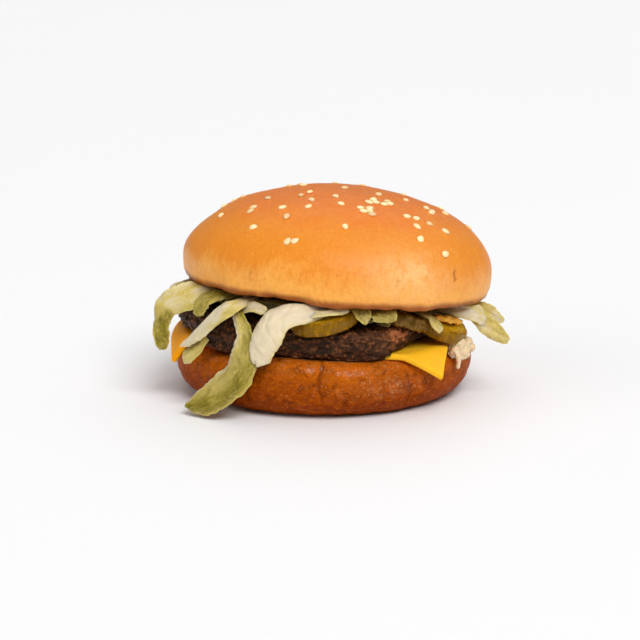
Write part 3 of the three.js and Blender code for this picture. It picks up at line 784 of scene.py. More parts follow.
class BURGER_OT_crown(bpy.types.Operator):
    """Builds the crown: a glossy domed bun with a toasted lower edge, dimpled round its seeds"""

    bl_idname = "burger.crown"
    bl_label = "Crown"

    def execute(self, context):
        crown = context.scene.burger.crown
        widest, top = (crown.radius / MM, CROWN_WIDEST), (0, crown.height / MM)
        under_steps, lower_steps, dome_steps = CROWN_STEPS
        points, faces = turned(
            CROWN_SEGMENTS,
            [(0, 0)],
            straight((CROWN_FIRST, 0), (CROWN_UNDER, 0), under_steps),
            quarter((CROWN_UNDER, 0), widest, LOWER_POWER, lower_steps),
            quarter(widest, top, DOME_POWER, dome_steps, True),
        )
        points = crown_shaped(points)
        azimuth, rise = azimuth_of(points), points[:, 2]
        normals = normals_of(points, faces)
        side = smooth(reach_of(points), 46, CROWN_UNDER)
        out = 0.22 * lumps_at(points, 9) + 0.07 * lumps_at(points, 3.2)
        edge = side * smooth(rise, 6, 0.5)
        out += edge * (0.5 * lumps_at(points, 7, 3) + 0.25 * lumps_at(points, 2.4, 9))
        for around, down, *_ in seed_places():
            off = np.linalg.norm(points - dome_points(crown, around, down), axis=1)
            out += SEED_RING[2] * hump(off, *SEED_RING[:2]) - SEED_HOLLOW[1] * hump(off, 0, SEED_HOLLOW[0])
        # The bottoms of the cracks are marked for painted shade.
        scorch = np.zeros(len(points))
        for centre, low, high, strong in CROWN_CRACKS:
            wander = CRACK_WANDER * lumps(rise / 1.6, centre, 0)
            broken = smooth(lumps(rise / 0.9, centre, 5), -0.3, 0.3)
            upright = smooth(rise, low, low + 1.5) * smooth(rise, high, high - 1.5)
            crack = strong * hump(away(azimuth, centre), wander, CRACK_WIDTH) * broken * upright
            out -= CRACK_DEPTH * crack
            scorch = np.maximum(scorch, 0.8 * crack)
        points = points + normals * out[:, None]
        points[:, 2] += CROWN_BOW[2] * side * smooth(rise, 7, 0) * bump(azimuth, *CROWN_BOW[:2])
        # Pale patch at the front right: partly paler crust, partly a painted highlight.
        pale = 0.9 * bump(azimuth, *CROWN_BLEACHED[:2]) * hump(rise, *CROWN_BLEACHED[2:])
        marks = {"rise": np.clip(rise / top[1], 0, 1), "scorch": scorch, "pale": pale}
        mesh = make_mesh("crown", carried(points, crown_frame(crown)), faces, marks)
        place(context, mesh, crown_finish(crown), "bun_crust", "bun_crown")
        return {"FINISHED"}


def seed_finish(seeds):
    finish = Finish("sesame", Roughness=0.4, Subsurface_Weight=0.2, Subsurface_Scale=0.001)
    grain = finish.noise(0.8, 3)
    tone = finish.sum(finish.mark("tint"), (grain, 0.5))
    finish.paint(
        finish.ramp(tone, (0.0, (0.72, 0.48, 0.22)), (0.4, seeds.hull), (1.0, scaled(seeds.hull, 1.12)))
    )
    finish.relief((grain, 0.05))
    return finish.material


def seed_grower(material):
    """Lays a tapered seed on each point, turned by its aim and scaled by its size."""
    graph = Grower("Sesame seeds", "Length", "Width", "Thickness")
    given = graph.given
    ball = graph.add("GeometryNodeMeshUVSphere", {"Segments": 10, "Rings": 6, "Radius": 0.5}).outputs[0]
    at = graph.add("GeometryNodeInputPosition").outputs[0]
    x, y, z = graph.add("ShaderNodeSeparateXYZ", {0: at}).outputs
    taper = graph.minus(1.2, graph.times(graph.math("POWER", graph.plus(x, 0.5), 1.5), 0.5))
    sides = {
        0: graph.times(x, given["Length"]),
        1: graph.times(y, given["Width"], taper),
        2: graph.times(z, given["Thickness"]),
    }
    shape = graph.add("ShaderNodeCombineXYZ", sides).outputs[0]
    seed = graph.add("GeometryNodeSetPosition", {"Geometry": ball, "Position": shape}).outputs[0]
    aim, size = graph.named("aim", "FLOAT_VECTOR"), graph.named("size")
    graph.end(graph.strewn(given["Geometry"], graph.shaded(seed), aim, size), material)
    return graph


class BURGER_OT_seeds(bpy.types.Operator):
    """Scatters sesame seeds over the crown, thickest near the top, with clumps and a few strays"""

    bl_idname = "burger.seeds"
    bl_label = "Sesame seeds"

    def execute(self, context):
        burger = context.scene.burger
        crown, seeds = burger.crown, burger.seeds
        azimuth, down, turn, size = seed_places().T
        step = 0.01
        at = dome_points(crown, azimuth, down)
        slope = unit(dome_points(crown, azimuth, down + step) - at)
        out = unit(np.cross(slope, dome_points(crown, azimuth + step, down) - at))
        out *= np.sign(out[:, 2:])
        matrix = crown_frame(crown)
        aims = []
        for spin, upward, downhill in zip(turn, out, slope):
            along = Matrix.Rotation(spin, 3, Vector(upward)) @ Vector(downhill)
            local = np.stack([along, np.cross(upward, along), upward], -1)
            aims.append(Matrix((matrix[:3, :3] @ local).tolist()).to_euler())
        tint = [lattice_value(i, 7, 1) for i in range(len(at))]
        marks = {"aim": aims, "size": size, "tint": tint}
        base = make_mesh("sesame_seeds", carried(at + SEED_LIFT * out, matrix), [np.zeros((0, 3), int)], marks)
        material = seed_finish(seeds)
        sizes = {"Length": seeds.length, "Width": seeds.width, "Thickness": seeds.thickness}
        place(context, seed_grower(material).grow(context, base, sizes), material, None)
        return {"FINISHED"}


# ---- Heel -------------------------------------------------------------------------------------------

# The flat foot ends at the first distance and the cut face at the second, and the widest ring is this high.
HEEL_FOOT = 43.0
HEEL_RIM = 51.5
HEEL_WIDEST = 11.5
# Radii of the first ring and of the one before the last steps, and the powers of the side's two halves.
HEEL_FIRST, HEEL_INNER = 6, 42
HEEL_POWERS = (2.1, 2.45)
HEEL_SEGMENTS = 520
HEEL_WAVES = ((0.01, 2, 0.5), (0.006, 3, -1.2))
# Azimuth, width and height of the swelling of the top's rim, and where it starts and is full.
HEEL_SWELL = (-17, 20, 1.7, 44, 49)
# Azimuth, width in degrees, depth, lowest and highest point of each crease.
HEEL_CREASES = (
    (-2, 2.6, 1.1, 9, 22), (-31, 2.8, 0.7, 6, 17), (33, 3.2, 0.6, 4, 15),
    (104, 2.8, 0.9, 7, 19), (171, 2.6, 0.9, 8, 21), (-118, 3.0, 0.8, 6, 17),
)
# Width of a crease's sharp bottom in degrees, and the depth of a crease whose bottom takes the full painted
# shade.
CREASE_BOTTOM, CREASE_DEEPEST = 0.6, 1.1


def heel_swell(reach, azimuth):
    """How far the heel's top is raised over points at a distance and an azimuth."""
    centre, width, height, start, end = HEEL_SWELL
    return height * smooth(reach, start, end) * bump(azimuth, centre, width)


def heel_finish(heel):
    finish = Finish(
        "bun_heel_crust",
        Specular_IOR_Level=0.01,
        Specular_Tint=(1, 0.5, 0.2),
        Subsurface_Weight=0.05,
        Subsurface_Scale=0.003,
        Subsurface_Radius=(1.0, 0.4, 0.15),
        Coat_Roughness=0.16,
    )
    # Marks the patch of painted highlights at the front right and the crumbs near the cut face.
    dryness = finish.mark("dry")
    broad, patch = finish.noise(15, 3, 0.6), finish.noise(4.2, 4, 0.65, 0.6)
    fine = finish.noise(1.0, 4, 0.65)
    streaks = finish.noise(1.6, 3, 0.6, at=finish.stretched(1, 1, 4))
    # Darker towards the foot: partly the crust's own tone, partly painted shade for the light that the foot
    # misses.
    crust = finish.ramp(
        finish.sum(finish.mark("rise"), (broad, 0.7), (patch, 0.6), (streaks, 0.4)),
        (0.0, scaled(heel.foot_crust, 0.8)),
        (0.3, heel.foot_crust),
        (0.6, heel.side_crust),
        (0.86, heel.rim_crust),
        (1.0, scaled(heel.rim_crust, 1.2)),
    )
    brushed = finish.noise(0.9, 4, 0.65, 0.8, at=finish.stretched(2.6, 2.6, 1.2))
    glazed = finish.blend(finish.fit(brushed, 0.48, 0.68, 0.0, 0.42), crust, scaled(heel.rim_crust, 1.5))
    spots = finish.fit(finish.noise(5, 4, 0.7, 0.8), 0.5, 0.68, 0.0, 0.6)
    baked = finish.blend(spots, glazed, scaled(heel.foot_crust, 0.4))
    speckled = finish.blend(finish.fit(fine, 0.5, 0.75, 0.0, 0.25), baked, scaled(heel.foot_crust, 0.6))
    # Painted glints: small pale spots that stand in for highlights, thickest in the patch at the front right.
    strewn = finish.fit(finish.sum(finish.noise(5, 2), (dryness, 0.25)), 0.36, 0.5)
    sparks = finish.times(finish.fit(finish.cells(1.5), 0.2, 0.08), strewn, 0.45)
    sparkling = finish.blend(sparks, speckled, (0.85, 0.48, 0.22))
    # Pale flecks: crumbs near the cut face, and painted highlights in the patch at the front right.
    peeling = finish.times(dryness, finish.fit(finish.noise(1.7, 4, 0.7), 0.46, 0.6))
    flakes = finish.times(peeling, finish.fit(fine, 0.5, 0.62, 0.1, 0.7))
    flaked = finish.blend(flakes, sparkling, (0.6, 0.25, 0.08))
    # Painted shade in the bottoms of the creases.
    creased = finish.blend(finish.mark("scorch"), flaked, scaled(heel.foot_crust, 0.3))
    finish.paint(finish.blend(finish.mark("cut"), creased, (0.72, 0.42, 0.16)))
    finish.roughen(patch, 0.2, 0.4)
    shiny = finish.fit(finish.sum(patch, (fine, 0.8), (dryness, 0.2)), 0.45, 0.72, heel.gloss, 0.42)
    finish.drive("Coat Weight", finish.times(shiny, finish.seen_square()))
    wrinkles = finish.cells(1.3, "DISTANCE_TO_EDGE", finish.stretched(1, 1, 0.8))
    finish.relief(
        (finish.noise(6, 3, 0.6), 1.1),
        (finish.noise(2.2, 4, 0.7, 1.0), 0.6),
        (finish.fit(wrinkles, 0.02, 0.22), 0.12),
        (streaks, 0.2),
        (fine, 0.05),
    )
    return finish.material


class BURGER_OT_heel(bpy.types.Operator):
    """Builds the heel: the toasted lower bun with creases, wrinkles and a pale cut face"""

    bl_idname = "burger.heel"
    bl_label = "Heel"

    def execute(self, context):
        heel = context.scene.burger.heel
        radius, height = heel.radius / MM, heel.height / MM
        foot, widest, shoulder = (HEEL_FOOT, 0), (radius, HEEL_WIDEST), (HEEL_RIM - 3, height)
        points, faces = turned(
            HEEL_SEGMENTS,
            [(0, 0)],
            straight((HEEL_FIRST, 0), foot, 8),
            quarter(foot, widest, HEEL_POWERS[0], 34),
            quarter(widest, shoulder, HEEL_POWERS[1], 26, True),
            straight(shoulder, (HEEL_INNER, height), 8),
            straight((HEEL_INNER, height), (HEEL_FIRST, height), 6),
            [(0, height)],
        )
        reach = np.maximum(reach_of(points), 1e-6)
        azimuth, rise = azimuth_of(points), points[:, 2]
        side = smooth(reach, HEEL_FOOT - 2, radius)
        out = mix(1, 1 + waves(azimuth, *HEEL_WAVES), smooth(reach, 20, HEEL_FOOT))
        # The bottoms of the creases are marked for painted shade.
        scorch = np.zeros(len(points))
        for centre, width, depth, low, high in HEEL_CREASES:
            upright = smooth(rise, low - 3, low + 1) - smooth(rise, high - 1, high + 3)
            out -= depth / reach * side * upright * bump(azimuth, centre, width)
            bend = centre + 1.1 * lumps(rise / 3, centre, 2)
            bottom = depth / CREASE_DEEPEST * upright * bump(azimuth, bend, CREASE_BOTTOM)
            out -= 0.7 / reach * side * bottom
            scorch = np.maximum(scorch, 0.7 * side * bottom)
        out += 0.4 / reach * side * lumps_at(points, 9)
        points[:, :2] *= out[:, None]
        points[:, 2] += heel_swell(reach, azimuth) * smooth(rise, HEEL_WIDEST, height)
        normals = normals_of(points, faces)
        wrinkle = 0.28 * lumps_at(points, 4.4, 5) + 0.13 * lumps_at(points * (1, 1, 0.45), 1.7, 9)
        deep = smooth(rise, 0.0, 1.0) * np.where(side > 0.2, 1, 0.3) * wrinkle
        points = points + normals * deep[:, None]
        cut = smooth(reach, HEEL_RIM - 2, HEEL_RIM - 3.5) * smooth(rise, height - 1, height - 0.3)
        near_cut = 0.8 * smooth(rise, height - 3.4, height - 1.2)
        # The patch at the front right is where painted glints and pale flecks stand in for highlights; near the
        # cut face the flecks are crumbs.
        dry = np.maximum(bump(azimuth, 24, 17) * smooth(rise, 6, 10), near_cut)
        marks = {"rise": np.clip(rise / height, 0, 1), "scorch": scorch, "cut": cut, "dry": dry * side}
        mesh = make_mesh("heel", points, faces, marks)
        place(context, mesh, heel_finish(heel), "bun_heel_crust", "bun_heel")
        return {"FINISHED"}


# ---- Cheese -----------------------------------------------------------------------------------------

# Radius of the fold over the heel, how far out it starts, and how far the sides of a slice draw in.
CHEESE_BEND = 3.4
CHEESE_EDGE = 52.2
CHEESE_WAIST = 0.06
# Size and height of the soft unevenness of a slice.
CHEESE_LUMPS = (11, 0.2)
# Rounding of a slice's edges and its power, the steps over that rounding, and the steps across the slice.
CHEESE_ROUNDING, CHEESE_POWER = 0.75, 3.4
CHEESE_RIM_STEPS = (0, 0.02, 0.08, 0.2, 0.4, 0.7, 1)
CHEESE_STEPS = 76
# Middle, turn in degrees, layer and hang in degrees of each slice, by the solid that it replaces.
CHEESE_SLICES = {
    "cheese_slice_right": ((11.1, -9), -7.1, 0, 38),
    "cheese_slice_left": ((-18.6, 4), -8.3, 1, 66),
}


def slice_under(burger, layer):
    """Height of the lower face of a slice."""
    return burger.heel.height / MM + (layer + 1) * (GAP + 0.05) + layer * burger.cheese.thickness / MM


def draped(burger, plan, above, middle, turn, layer, hang):
    """Points of a slice's middle face, raised by above, that lie flat and fold down past the heel's edge."""
    side, thick = burger.cheese.side / MM, burger.cheese.thickness / MM
    bend = CHEESE_BEND + layer * (thick + GAP)
    c, s = math.cos(math.radians(turn)), math.sin(math.radians(turn))
    rounding = 1 - 0.02 * (np.abs(plan).sum(-1) / side) ** 4
    drawn = 1 - CHEESE_WAIST * (1 - (2 * plan[..., ::-1] / side) ** 2)
    u, v = np.moveaxis(plan * rounding[..., None] * drawn, -1, 0)
    x, y = middle[0] + c * u - s * v, middle[1] + s * u + c * v
    reach = np.maximum(np.hypot(x, y), 1e-6)
    past = np.maximum(0, reach - CHEESE_EDGE)
    fold = np.minimum(past / bend, math.radians(hang))
    hanging = np.maximum(0, past - fold * bend)
    out = np.minimum(reach, CHEESE_EDGE) + (bend + above) * np.sin(fold) + hanging * np.cos(fold)
    drop = bend * (1 - np.cos(fold)) + hanging * np.sin(fold)
    height = slice_under(burger, layer) + thick / 2 - drop + above * np.cos(fold)
    return np.stack([x * out / reach, y * out / reach, height], -1)


def cheese_finish(cheese):
    finish = Finish(
        "cheese",
        Specular_IOR_Level=0.2,
        Specular_Tint=(1, 0.75, 0.3),
        Subsurface_Weight=0.35,
        Subsurface_Scale=0.004,
        Subsurface_Radius=(1.0, 0.5, 0.08),
    )
    patch, fine = finish.noise(9, 3), finish.noise(0.9, 3)
    tone = finish.ramp(
        finish.sum(patch, (fine, 0.15)),
        (0.3, scaled(cheese.tone, 0.92)),
        (0.55, cheese.tone),
        (0.8, scaled(cheese.tone, 1.06)),
    )
    finish.paint(finish.blend(finish.mark("warm"), tone, (1.0, 0.36, 0.0)))
    finish.roughen(patch, 0.3, 0.44)
    finish.relief((finish.noise(5, 2), 0.12), (fine, 0.02))
    return finish.material


class BURGER_OT_cheese(bpy.types.Operator):
    """Builds the cheese slices, soft squares whose corners hang over the heel"""

    bl_idname = "burger.cheese"
    bl_label = "Cheese slices"

    def execute(self, context):
        burger = context.scene.burger
        end, thick = burger.cheese.side / MM / 2, burger.cheese.thickness / MM
        material = cheese_finish(burger.cheese)
        rim = np.array(CHEESE_RIM_STEPS) * CHEESE_ROUNDING
        inner = np.linspace(-end + CHEESE_ROUNDING, end - CHEESE_ROUNDING, CHEESE_STEPS)[1:-1]
        line = np.concatenate([rim - end, inner, end - rim[::-1]])
        plan = np.stack(np.meshgrid(line, line, indexing="ij"), -1)
        depth = np.clip((end - np.abs(plan).max(-1)) / CHEESE_ROUNDING, 0, 1)
        half = thick / 2 * (1 - (1 - depth) ** CHEESE_POWER) ** (1 / CHEESE_POWER)
        for node, (middle, turn, layer, hang) in CHEESE_SLICES.items():
            size, height = CHEESE_LUMPS
            soft = height * lumps(plan[..., 0] / size, plan[..., 1] / size, layer * 5 + 0.5)
            over, under = (
                draped(burger, plan, face * half + soft, middle, turn, layer, hang) for face in (1, -1)
            )
            _, faces = sheet((over + under) / 2, np.zeros_like(over), half)
            points = np.concatenate([over.reshape(-1, 3), under.reshape(-1, 3)])
            mesh = make_mesh(node.replace("slice", "drape"), points, faces, {"warm": 0.95 * layer})
            place(context, mesh, material, "cheese", node)
        return {"FINISHED"}


# ---- Patty ------------------------------------------------------------------------------------------

PATTY_MIDDLE = (-6.0, 0.0)
# Height of the top face at its middle, its roll in degrees, how far its rim sags and how round its edges are.
PATTY_TOP = 33.6
PATTY_ROLL = 2.6
PATTY_SAG = 1.8
PATTY_ROUND = 3.2
PATTY_POWER = 2.2
# Radius of the first ring, and the steps along the underside, each half of the edge and the top.
PATTY_FIRST = 4
PATTY_STEPS = (14, 22, 16)
PATTY_SEGMENTS = 640
PATTY_WAVES = ((0.018, 2, 1), (0.012, 5, -1), (0.01, 9, 0))
# Azimuth, width and share of the radius of each bulge.
PATTY_BULGES = ((29, 17, 0.112), (-82, 28, -0.03))
# Azimuth, width and height of the underside where it lifts off the heel.
PATTY_LIFT = (-80, 32, 6.0)
# Azimuth and width of the side whose upper part is painted lighter, as painted light.
PATTY_BROWNED = (37, 11)
# Radius of a loose crumb, and the least and greatest scale of its sides.
LOOSE_CRUMB = 0.36
LOOSE_SCALES = {"Min": (0.5, 0.5, 0.5), "Max": (1.5, 1.2, 1.0)}
LOOSE_TURNS = {"Min": (0, 0, 0), "Max": (6.28, 6.28, 6.28)}
# Distance from a crumb's middle, in crumbs, at which the surface is neither raised nor sunk.
CRUMB_LEVEL = 0.42


def patty_top(burger, x, y):
    """Height of the patty's top face over points of the plan."""
    reach = np.hypot(x - PATTY_MIDDLE[0], y - PATTY_MIDDLE[1]) / (burger.patty.radius / MM)
    return PATTY_TOP - math.tan(math.radians(PATTY_ROLL)) * x - PATTY_SAG * np.minimum(reach, 1) ** 4


def patty_bulge(azimuth):
    return sum(part * bump(azimuth, centre, width) for centre, width, part in PATTY_BULGES)


def patty_reach(x, y):
    """Distance from the patty's middle, in terms of its radius before it bulges."""
    azimuth = np.arctan2(x - PATTY_MIDDLE[0], PATTY_MIDDLE[1] - y)
    return np.hypot(x - PATTY_MIDDLE[0], y - PATTY_MIDDLE[1]) / (1 + patty_bulge(azimuth))


def cheese_rise(burger, x, y):
    """How far the slices below a point lift the patty."""
    side, thick = burger.cheese.side / MM, burger.cheese.thickness / MM
    rise = np.zeros_like(x)
    for middle, turn, layer, _ in CHEESE_SLICES.values():
        c, s = math.cos(math.radians(turn)), math.sin(math.radians(turn))
        right, back = x - middle[0], y - middle[1]
        plan = np.stack([c * right + s * back, c * back - s * right], -1)
        waist = 1 - CHEESE_WAIST * (1 - np.minimum((2 * plan[..., ::-1] / side) ** 2, 1))
        inside = (side / 2 * waist - np.abs(plan)).min(-1)
        top = slice_under(burger, layer) + thick - burger.heel.height / MM
        rise = np.maximum(rise, top * smooth(inside, -0.4, 1.6))
    return rise


def patty_finish(patty):
    finish = Finish("beef", Specular_IOR_Level=0.28, Specular_Tint=(1, 0.7, 0.5))
    broad, patch, fine = finish.noise(11, 3), finish.noise(2.2, 4, 0.65), finish.noise(0.9, 4, 0.7)
    # Darker in the pits between the crumbs and lighter on their tops: painted shade.
    raised = finish.minus(1.0, finish.mark("pit"))
    # Painted light: the upper part of one side is lighter.
    browned = finish.mark("browned")
    meat = finish.ramp(
        finish.sum(raised, (broad, 0.5), (patch, 0.6), (fine, 1.1), (browned, 0.4)),
        (0.3, patty.char),
        (0.52, scaled(patty.meat, 0.25)),
        (0.72, scaled(patty.meat, 0.6)),
        (0.88, patty.meat),
        (1.0, scaled(patty.meat, 1.8)),
    )
    finish.paint(meat)
    finish.roughen(fine, 0.16, 0.5, 0.35, 0.6)
    finish.relief((patch, 0.5), (fine, 0.4))
    return finish.material


def patty_grower(material):
    """Pushes minced crumbs and finer grain out of a surface, and scatters loose crumbs on it."""
    graph = Grower("Minced beef", "Crumb size", "Crumb depth", "Grain size", "Grain depth", "Loose crumbs")
    given, rough = graph.given, graph.named("rough")
    spot = graph.add("GeometryNodeInputPosition").outputs[0]
    wobble = graph.add("ShaderNodeTexNoise", {"Vector": spot, "Scale": 260.0, "Detail": 2.0}).outputs["Color"]
    shift = graph.vector("SCALE", graph.vector("SUBTRACT", wobble, (0.5, 0.5, 0.5)), 0.002)
    spot = graph.vector("ADD", spot, shift)

    def crumbs(size):
        inputs = {"Vector": spot, "Scale": graph.math("DIVIDE", 1.0, size), "Smoothness": 0.35}
        return graph.add("ShaderNodeTexVoronoi", inputs, feature="SMOOTH_F1").outputs["Distance"]

    coarse, grain = crumbs(given["Crumb size"]), crumbs(given["Grain size"])
    lift = graph.plus(
        graph.times(graph.minus(CRUMB_LEVEL, coarse), given["Crumb depth"]),
        graph.times(graph.minus(CRUMB_LEVEL, grain), given["Grain depth"]),
    )
    pit = graph.plus(graph.times(coarse, 0.75), graph.times(grain, 0.35))
    marked = graph.add(
        "GeometryNodeStoreNamedAttribute",
        {"Geometry": given["Geometry"], "Name": "pit", "Value": pit},
        data_type="FLOAT",
        domain="POINT",
    )
    normal = graph.add("GeometryNodeInputNormal").outputs[0]
    push = graph.vector("SCALE", normal, graph.times(lift, rough))
    minced = graph.add("GeometryNodeSetPosition", {"Geometry": marked.outputs[0], "Offset": push}).outputs[0]
    # The density is counted on a square metre.
    density = graph.times(given["Loose crumbs"], 10000.0, rough)
    spots = graph.add("GeometryNodeDistributePointsOnFaces", {"Mesh": minced, "Density": density, "Seed": 31})
    ball = graph.add("GeometryNodeMeshIcoSphere", {"Radius": LOOSE_CRUMB * MM, "Subdivisions": 1}).outputs[0]
    size, turn = (
        graph.add("FunctionNodeRandomValue", {**ends, "Seed": seed}, data_type="FLOAT_VECTOR").outputs[0]
        for ends, seed in ((LOOSE_SCALES, 5), (LOOSE_TURNS, 8))
    )
    join = graph.add("GeometryNodeJoinGeometry")
    for part in (graph.strewn(spots.outputs[0], graph.shaded(ball), turn, size), minced):
        graph.tree.links.new(part, join.inputs[0])
    graph.end(join.outputs[0], material)
    return graph


class BURGER_OT_patty(bpy.types.Operator):
    """Builds the beef patty, pressed over the cheese, with a coarse minced surface"""

    bl_idname = "burger.patty"
    bl_label = "Beef patty"

    def execute(self, context):
        burger = context.scene.burger
        patty = burger.patty
        radius = patty.radius / MM
        inner = radius - PATTY_ROUND
        under, edge, over = PATTY_STEPS
        # The profile is as high as 1, and is then fitted between the patty's two faces.
        points, faces = turned(
            PATTY_SEGMENTS,
            [(0, 0)],
            straight((PATTY_FIRST, 0), (inner, 0), under),
            quarter((inner, 0), (radius, 0.5), PATTY_POWER, edge),
            quarter((radius, 0.5), (inner, 1), PATTY_POWER, edge, True),
            straight((inner, 1), (PATTY_FIRST, 1), over),
            [(0, 1)],
        )
        reach = reach_of(points)
        azimuth, up = azimuth_of(points), points[:, 2]
        side = smooth(reach / radius, 0.6, 0.95)
        coarse = lumps(points[:, 0] / 4.5, points[:, 1] / 4.5, 12 * up + 40)
        grain = coarse + 0.5 * lumps(points[:, 0] / 2.2, points[:, 1] / 2.2, 12 * up + 80)
        uneven = waves(azimuth, *PATTY_WAVES) + patty_bulge(azimuth) + 0.8 * grain / np.maximum(reach, 1)
        x, y = (points[:, :2] * (1 + side * uneven)[:, None] + PATTY_MIDDLE).T
        lift = PATTY_LIFT[2] * side * bump(azimuth, *PATTY_LIFT[:2])
        low = burger.heel.height / MM + GAP + np.maximum(lift, cheese_rise(burger, x, y))
        low = low + heel_swell(np.hypot(x, y), np.arctan2(x, -y))
        points = np.stack([x, y, mix(low, patty_top(burger, x, y) + 0.3 * side * grain, up)], -1)
        # Painted light on the upper part of one side.
        browned = 0.5 + 1.5 * bump(azimuth, *PATTY_BROWNED) * smooth(up, 0.2, 0.8)
        base = make_mesh("minced_patty", points, faces, {"rough": side, "browned": browned})
        material = patty_finish(patty)
        sizes = {
            "Crumb size": patty.crumb_size,
            "Crumb depth": patty.crumb_depth,
            "Grain size": patty.grain_size,
            "Grain depth": patty.grain_depth,
            "Loose crumbs": float(patty.loose_crumbs),
        }
        place(context, patty_grower(material).grow(context, base, sizes), material, "beef", "beef_patty")
        return {"FINISHED"}


# ---- Pickle chips -----------------------------------------------------------------------------------

# Radius of each chip, azimuth, distance and height of its middle, its tip and its roll in degrees, and how
# brown it has turned, by the solid that it replaces.
PICKLES = {
    "pickle_front": (13.8, (-2.4, 42.6, 35.2), 10, -8, 0.0),
    "pickle_middle": (10.4, (38.5, 43, 32.8), 5, 17, 0.85),
    "pickle_right": (11, (59, 47.6, 28.5), 25, 4, 0.0),
    "pickle_left": (13.5, (-84, 43.5, 37.2), 9, 0, 0.1),
    "pickle_back_right": (13.5, (136, 40, 33.4), 3, 4, 0.0),
    "pickle_back_left": (13.5, (-158, 41, 36), 2, -3, 0.3),
}
PICKLE_ROUNDING, PICKLE_POWER = 1.1, 2.4
# Radius of the first ring, and the steps along each face and over each half of the edge.
PICKLE_FIRST = 0.5
PICKLE_STEPS = (26, 14)
PICKLE_SEGMENTS = 150
PICKLE_WAVES = (0.015, 5, 0)
# Size and height of the ridges of the rind.
PICKLE_RIDGES = (1.7, 6)


def pickle_frame(at, tip, roll):
    """A chip's own level frame as a matrix into the burger's, in millimetres."""
    spin, over, down = (
        Matrix.Rotation(math.radians(turn), 4, axis) for turn, axis in ((at[0], "Z"), (roll, "Y"), (tip, "X"))
    )
    return np.array(Matrix.Translation(polar(*at).tolist()) @ spin @ over @ down)


def held_between(burger, points):
    """Heights of a chip's points, pressed between the patty and the crown."""
    x, y, height = points.T
    past = np.maximum(0, patty_reach(x, y) - burger.patty.radius / MM - 1)
    low = patty_top(burger, x, y) + 0.4 - 2 * past - 0.6 * past**2
    high = crown_floor(burger.crown, x, y) - 0.4
    height = np.minimum(height, high - 0.35 * np.tanh(np.maximum(0, high - height)))
    return np.maximum(height, np.minimum(low, high - 0.5))


def pickle_finish(pickles):
    finish = Finish(
        "pickle",
        Specular_IOR_Level=0.32,
        Specular_Tint=(1, 0.8, 0.3),
        Subsurface_Weight=0.5,
        Subsurface_Scale=0.004,
        Subsurface_Radius=(1.0, 0.75, 0.05),
        Coat_Roughness=0.1,
    )
    patch = finish.noise(3.4, 3, 0.6)
    streaks = finish.noise(1.1, 3, 0.6, at=finish.stretched(1, 1, 6))
    fresh = finish.ramp(
        finish.sum(finish.mark("rind"), (patch, 0.45), (streaks, 0.4)),
        (0.1, pickles.flesh),
        (0.4, scaled(pickles.flesh, 0.7)),
        (0.7, scaled(pickles.rind, 1.25)),
        (0.9, pickles.rind),
        (1.0, scaled(pickles.rind, 0.55)),
    )
    steeped = finish.blend(
        finish.fit(patch, 0.35, 0.65), scaled(pickles.steeped, 0.35), scaled(pickles.steeped, 1.5)
    )
    finish.paint(finish.blend(finish.mark("brown"), fresh, steeped))
    finish.roughen(patch, 0.12, 0.34)
    wet = finish.fit(patch, 0.45, 0.7, 0.04, 0.4)
    finish.drive("Coat Weight", finish.times(wet, finish.seen_square()))
    finish.relief((patch, 0.4), (streaks, 0.2), (finish.noise(1.4, 3, 0.6, 1.0), 0.25))
    return finish.material


class BURGER_OT_pickles(bpy.types.Operator):
    """Builds the pickle chips, wet slices with a darker bumpy rind"""

    bl_idname = "burger.pickles"
    bl_label = "Pickle chips"

    def execute(self, context):
        burger = context.scene.burger
        half = burger.pickles.thickness / MM / 2
        material = pickle_finish(burger.pickles)
        flat, rim = PICKLE_STEPS
        for order, (node, (radius, at, tip, roll, brown)) in enumerate(PICKLES.items()):
            inner = radius - PICKLE_ROUNDING
            points, faces = turned(
                PICKLE_SEGMENTS,
                [(0, -half)],
                straight((PICKLE_FIRST, -half), (inner, -half), flat),
                quarter((inner, -half), (radius, 0), PICKLE_POWER, rim),
                quarter((radius, 0), (inner, half), PICKLE_POWER, rim, True),
                straight((inner, half), (PICKLE_FIRST, half), flat),
                [(0, half)],
            )
            azimuth, reach = azimuth_of(points), reach_of(points)
            out = 1 + waves(azimuth, (0.03, 2, math.radians(at[0])), PICKLE_WAVES)
            edge = smooth(reach, radius - 2.2, radius - 0.6)
            points[:, 2] += 0.03 * points[:, 0] * np.sin(points[:, 1] / 6)
            ridge_size, ridge_height = PICKLE_RIDGES
            ridges = lumps(azimuth * radius / ridge_size, points[:, 2] / ridge_height, order * 7)
            points[:, :2] *= (out + (0.3 + 0.7 * brown) * edge * ridges / radius)[:, None]
            core = smooth(reach, radius * 0.62, radius * 0.45)
            wrinkled = (0.16 + 0.5 * brown) * lumps_at(points, 2.4, order * 11)
            points[:, 2] += np.sign(points[:, 2]) * (wrinkled - 0.25 * core)
            points = carried(points, pickle_frame(at, tip, roll))
            points[:, 2] = held_between(burger, points)
            mesh = make_mesh(node.replace("pickle", "chip"), points, faces, {"rind": edge, "brown": brown})
            place(context, mesh, material, "pickle", node)
        return {"FINISHED"}


# ---- Lettuce ----------------------------------------------------------------------------------------

BED_RADIUS = 43.0
BED_SEGMENTS = 300
# Radius of the first ring, and the steps along each level part, slope and half of the rim.
BED_FIRST = 6
BED_STEPS = (6, 5, 12)
# Shares of the bed's radius and of its height at which its rim starts to round off.
BED_LEVEL, BED_BEVEL = 0.75, 0.12
# Coarsest distance between the points of a shred.
LEAF_GRAIN = 0.42
# Least and most points along a shred and across it.
LEAF_ROWS, LEAF_COLUMNS = (14, 160), (7, 34)
# How much a leaf's face looks up, next to how much it looks outward.
LEAF_RAISE = 0.8
# Share of the width, length and seed of the tears in a leaf's edges.
LEAF_TEARS = ((0.08, 6, 3), (0.03, 2, 9))
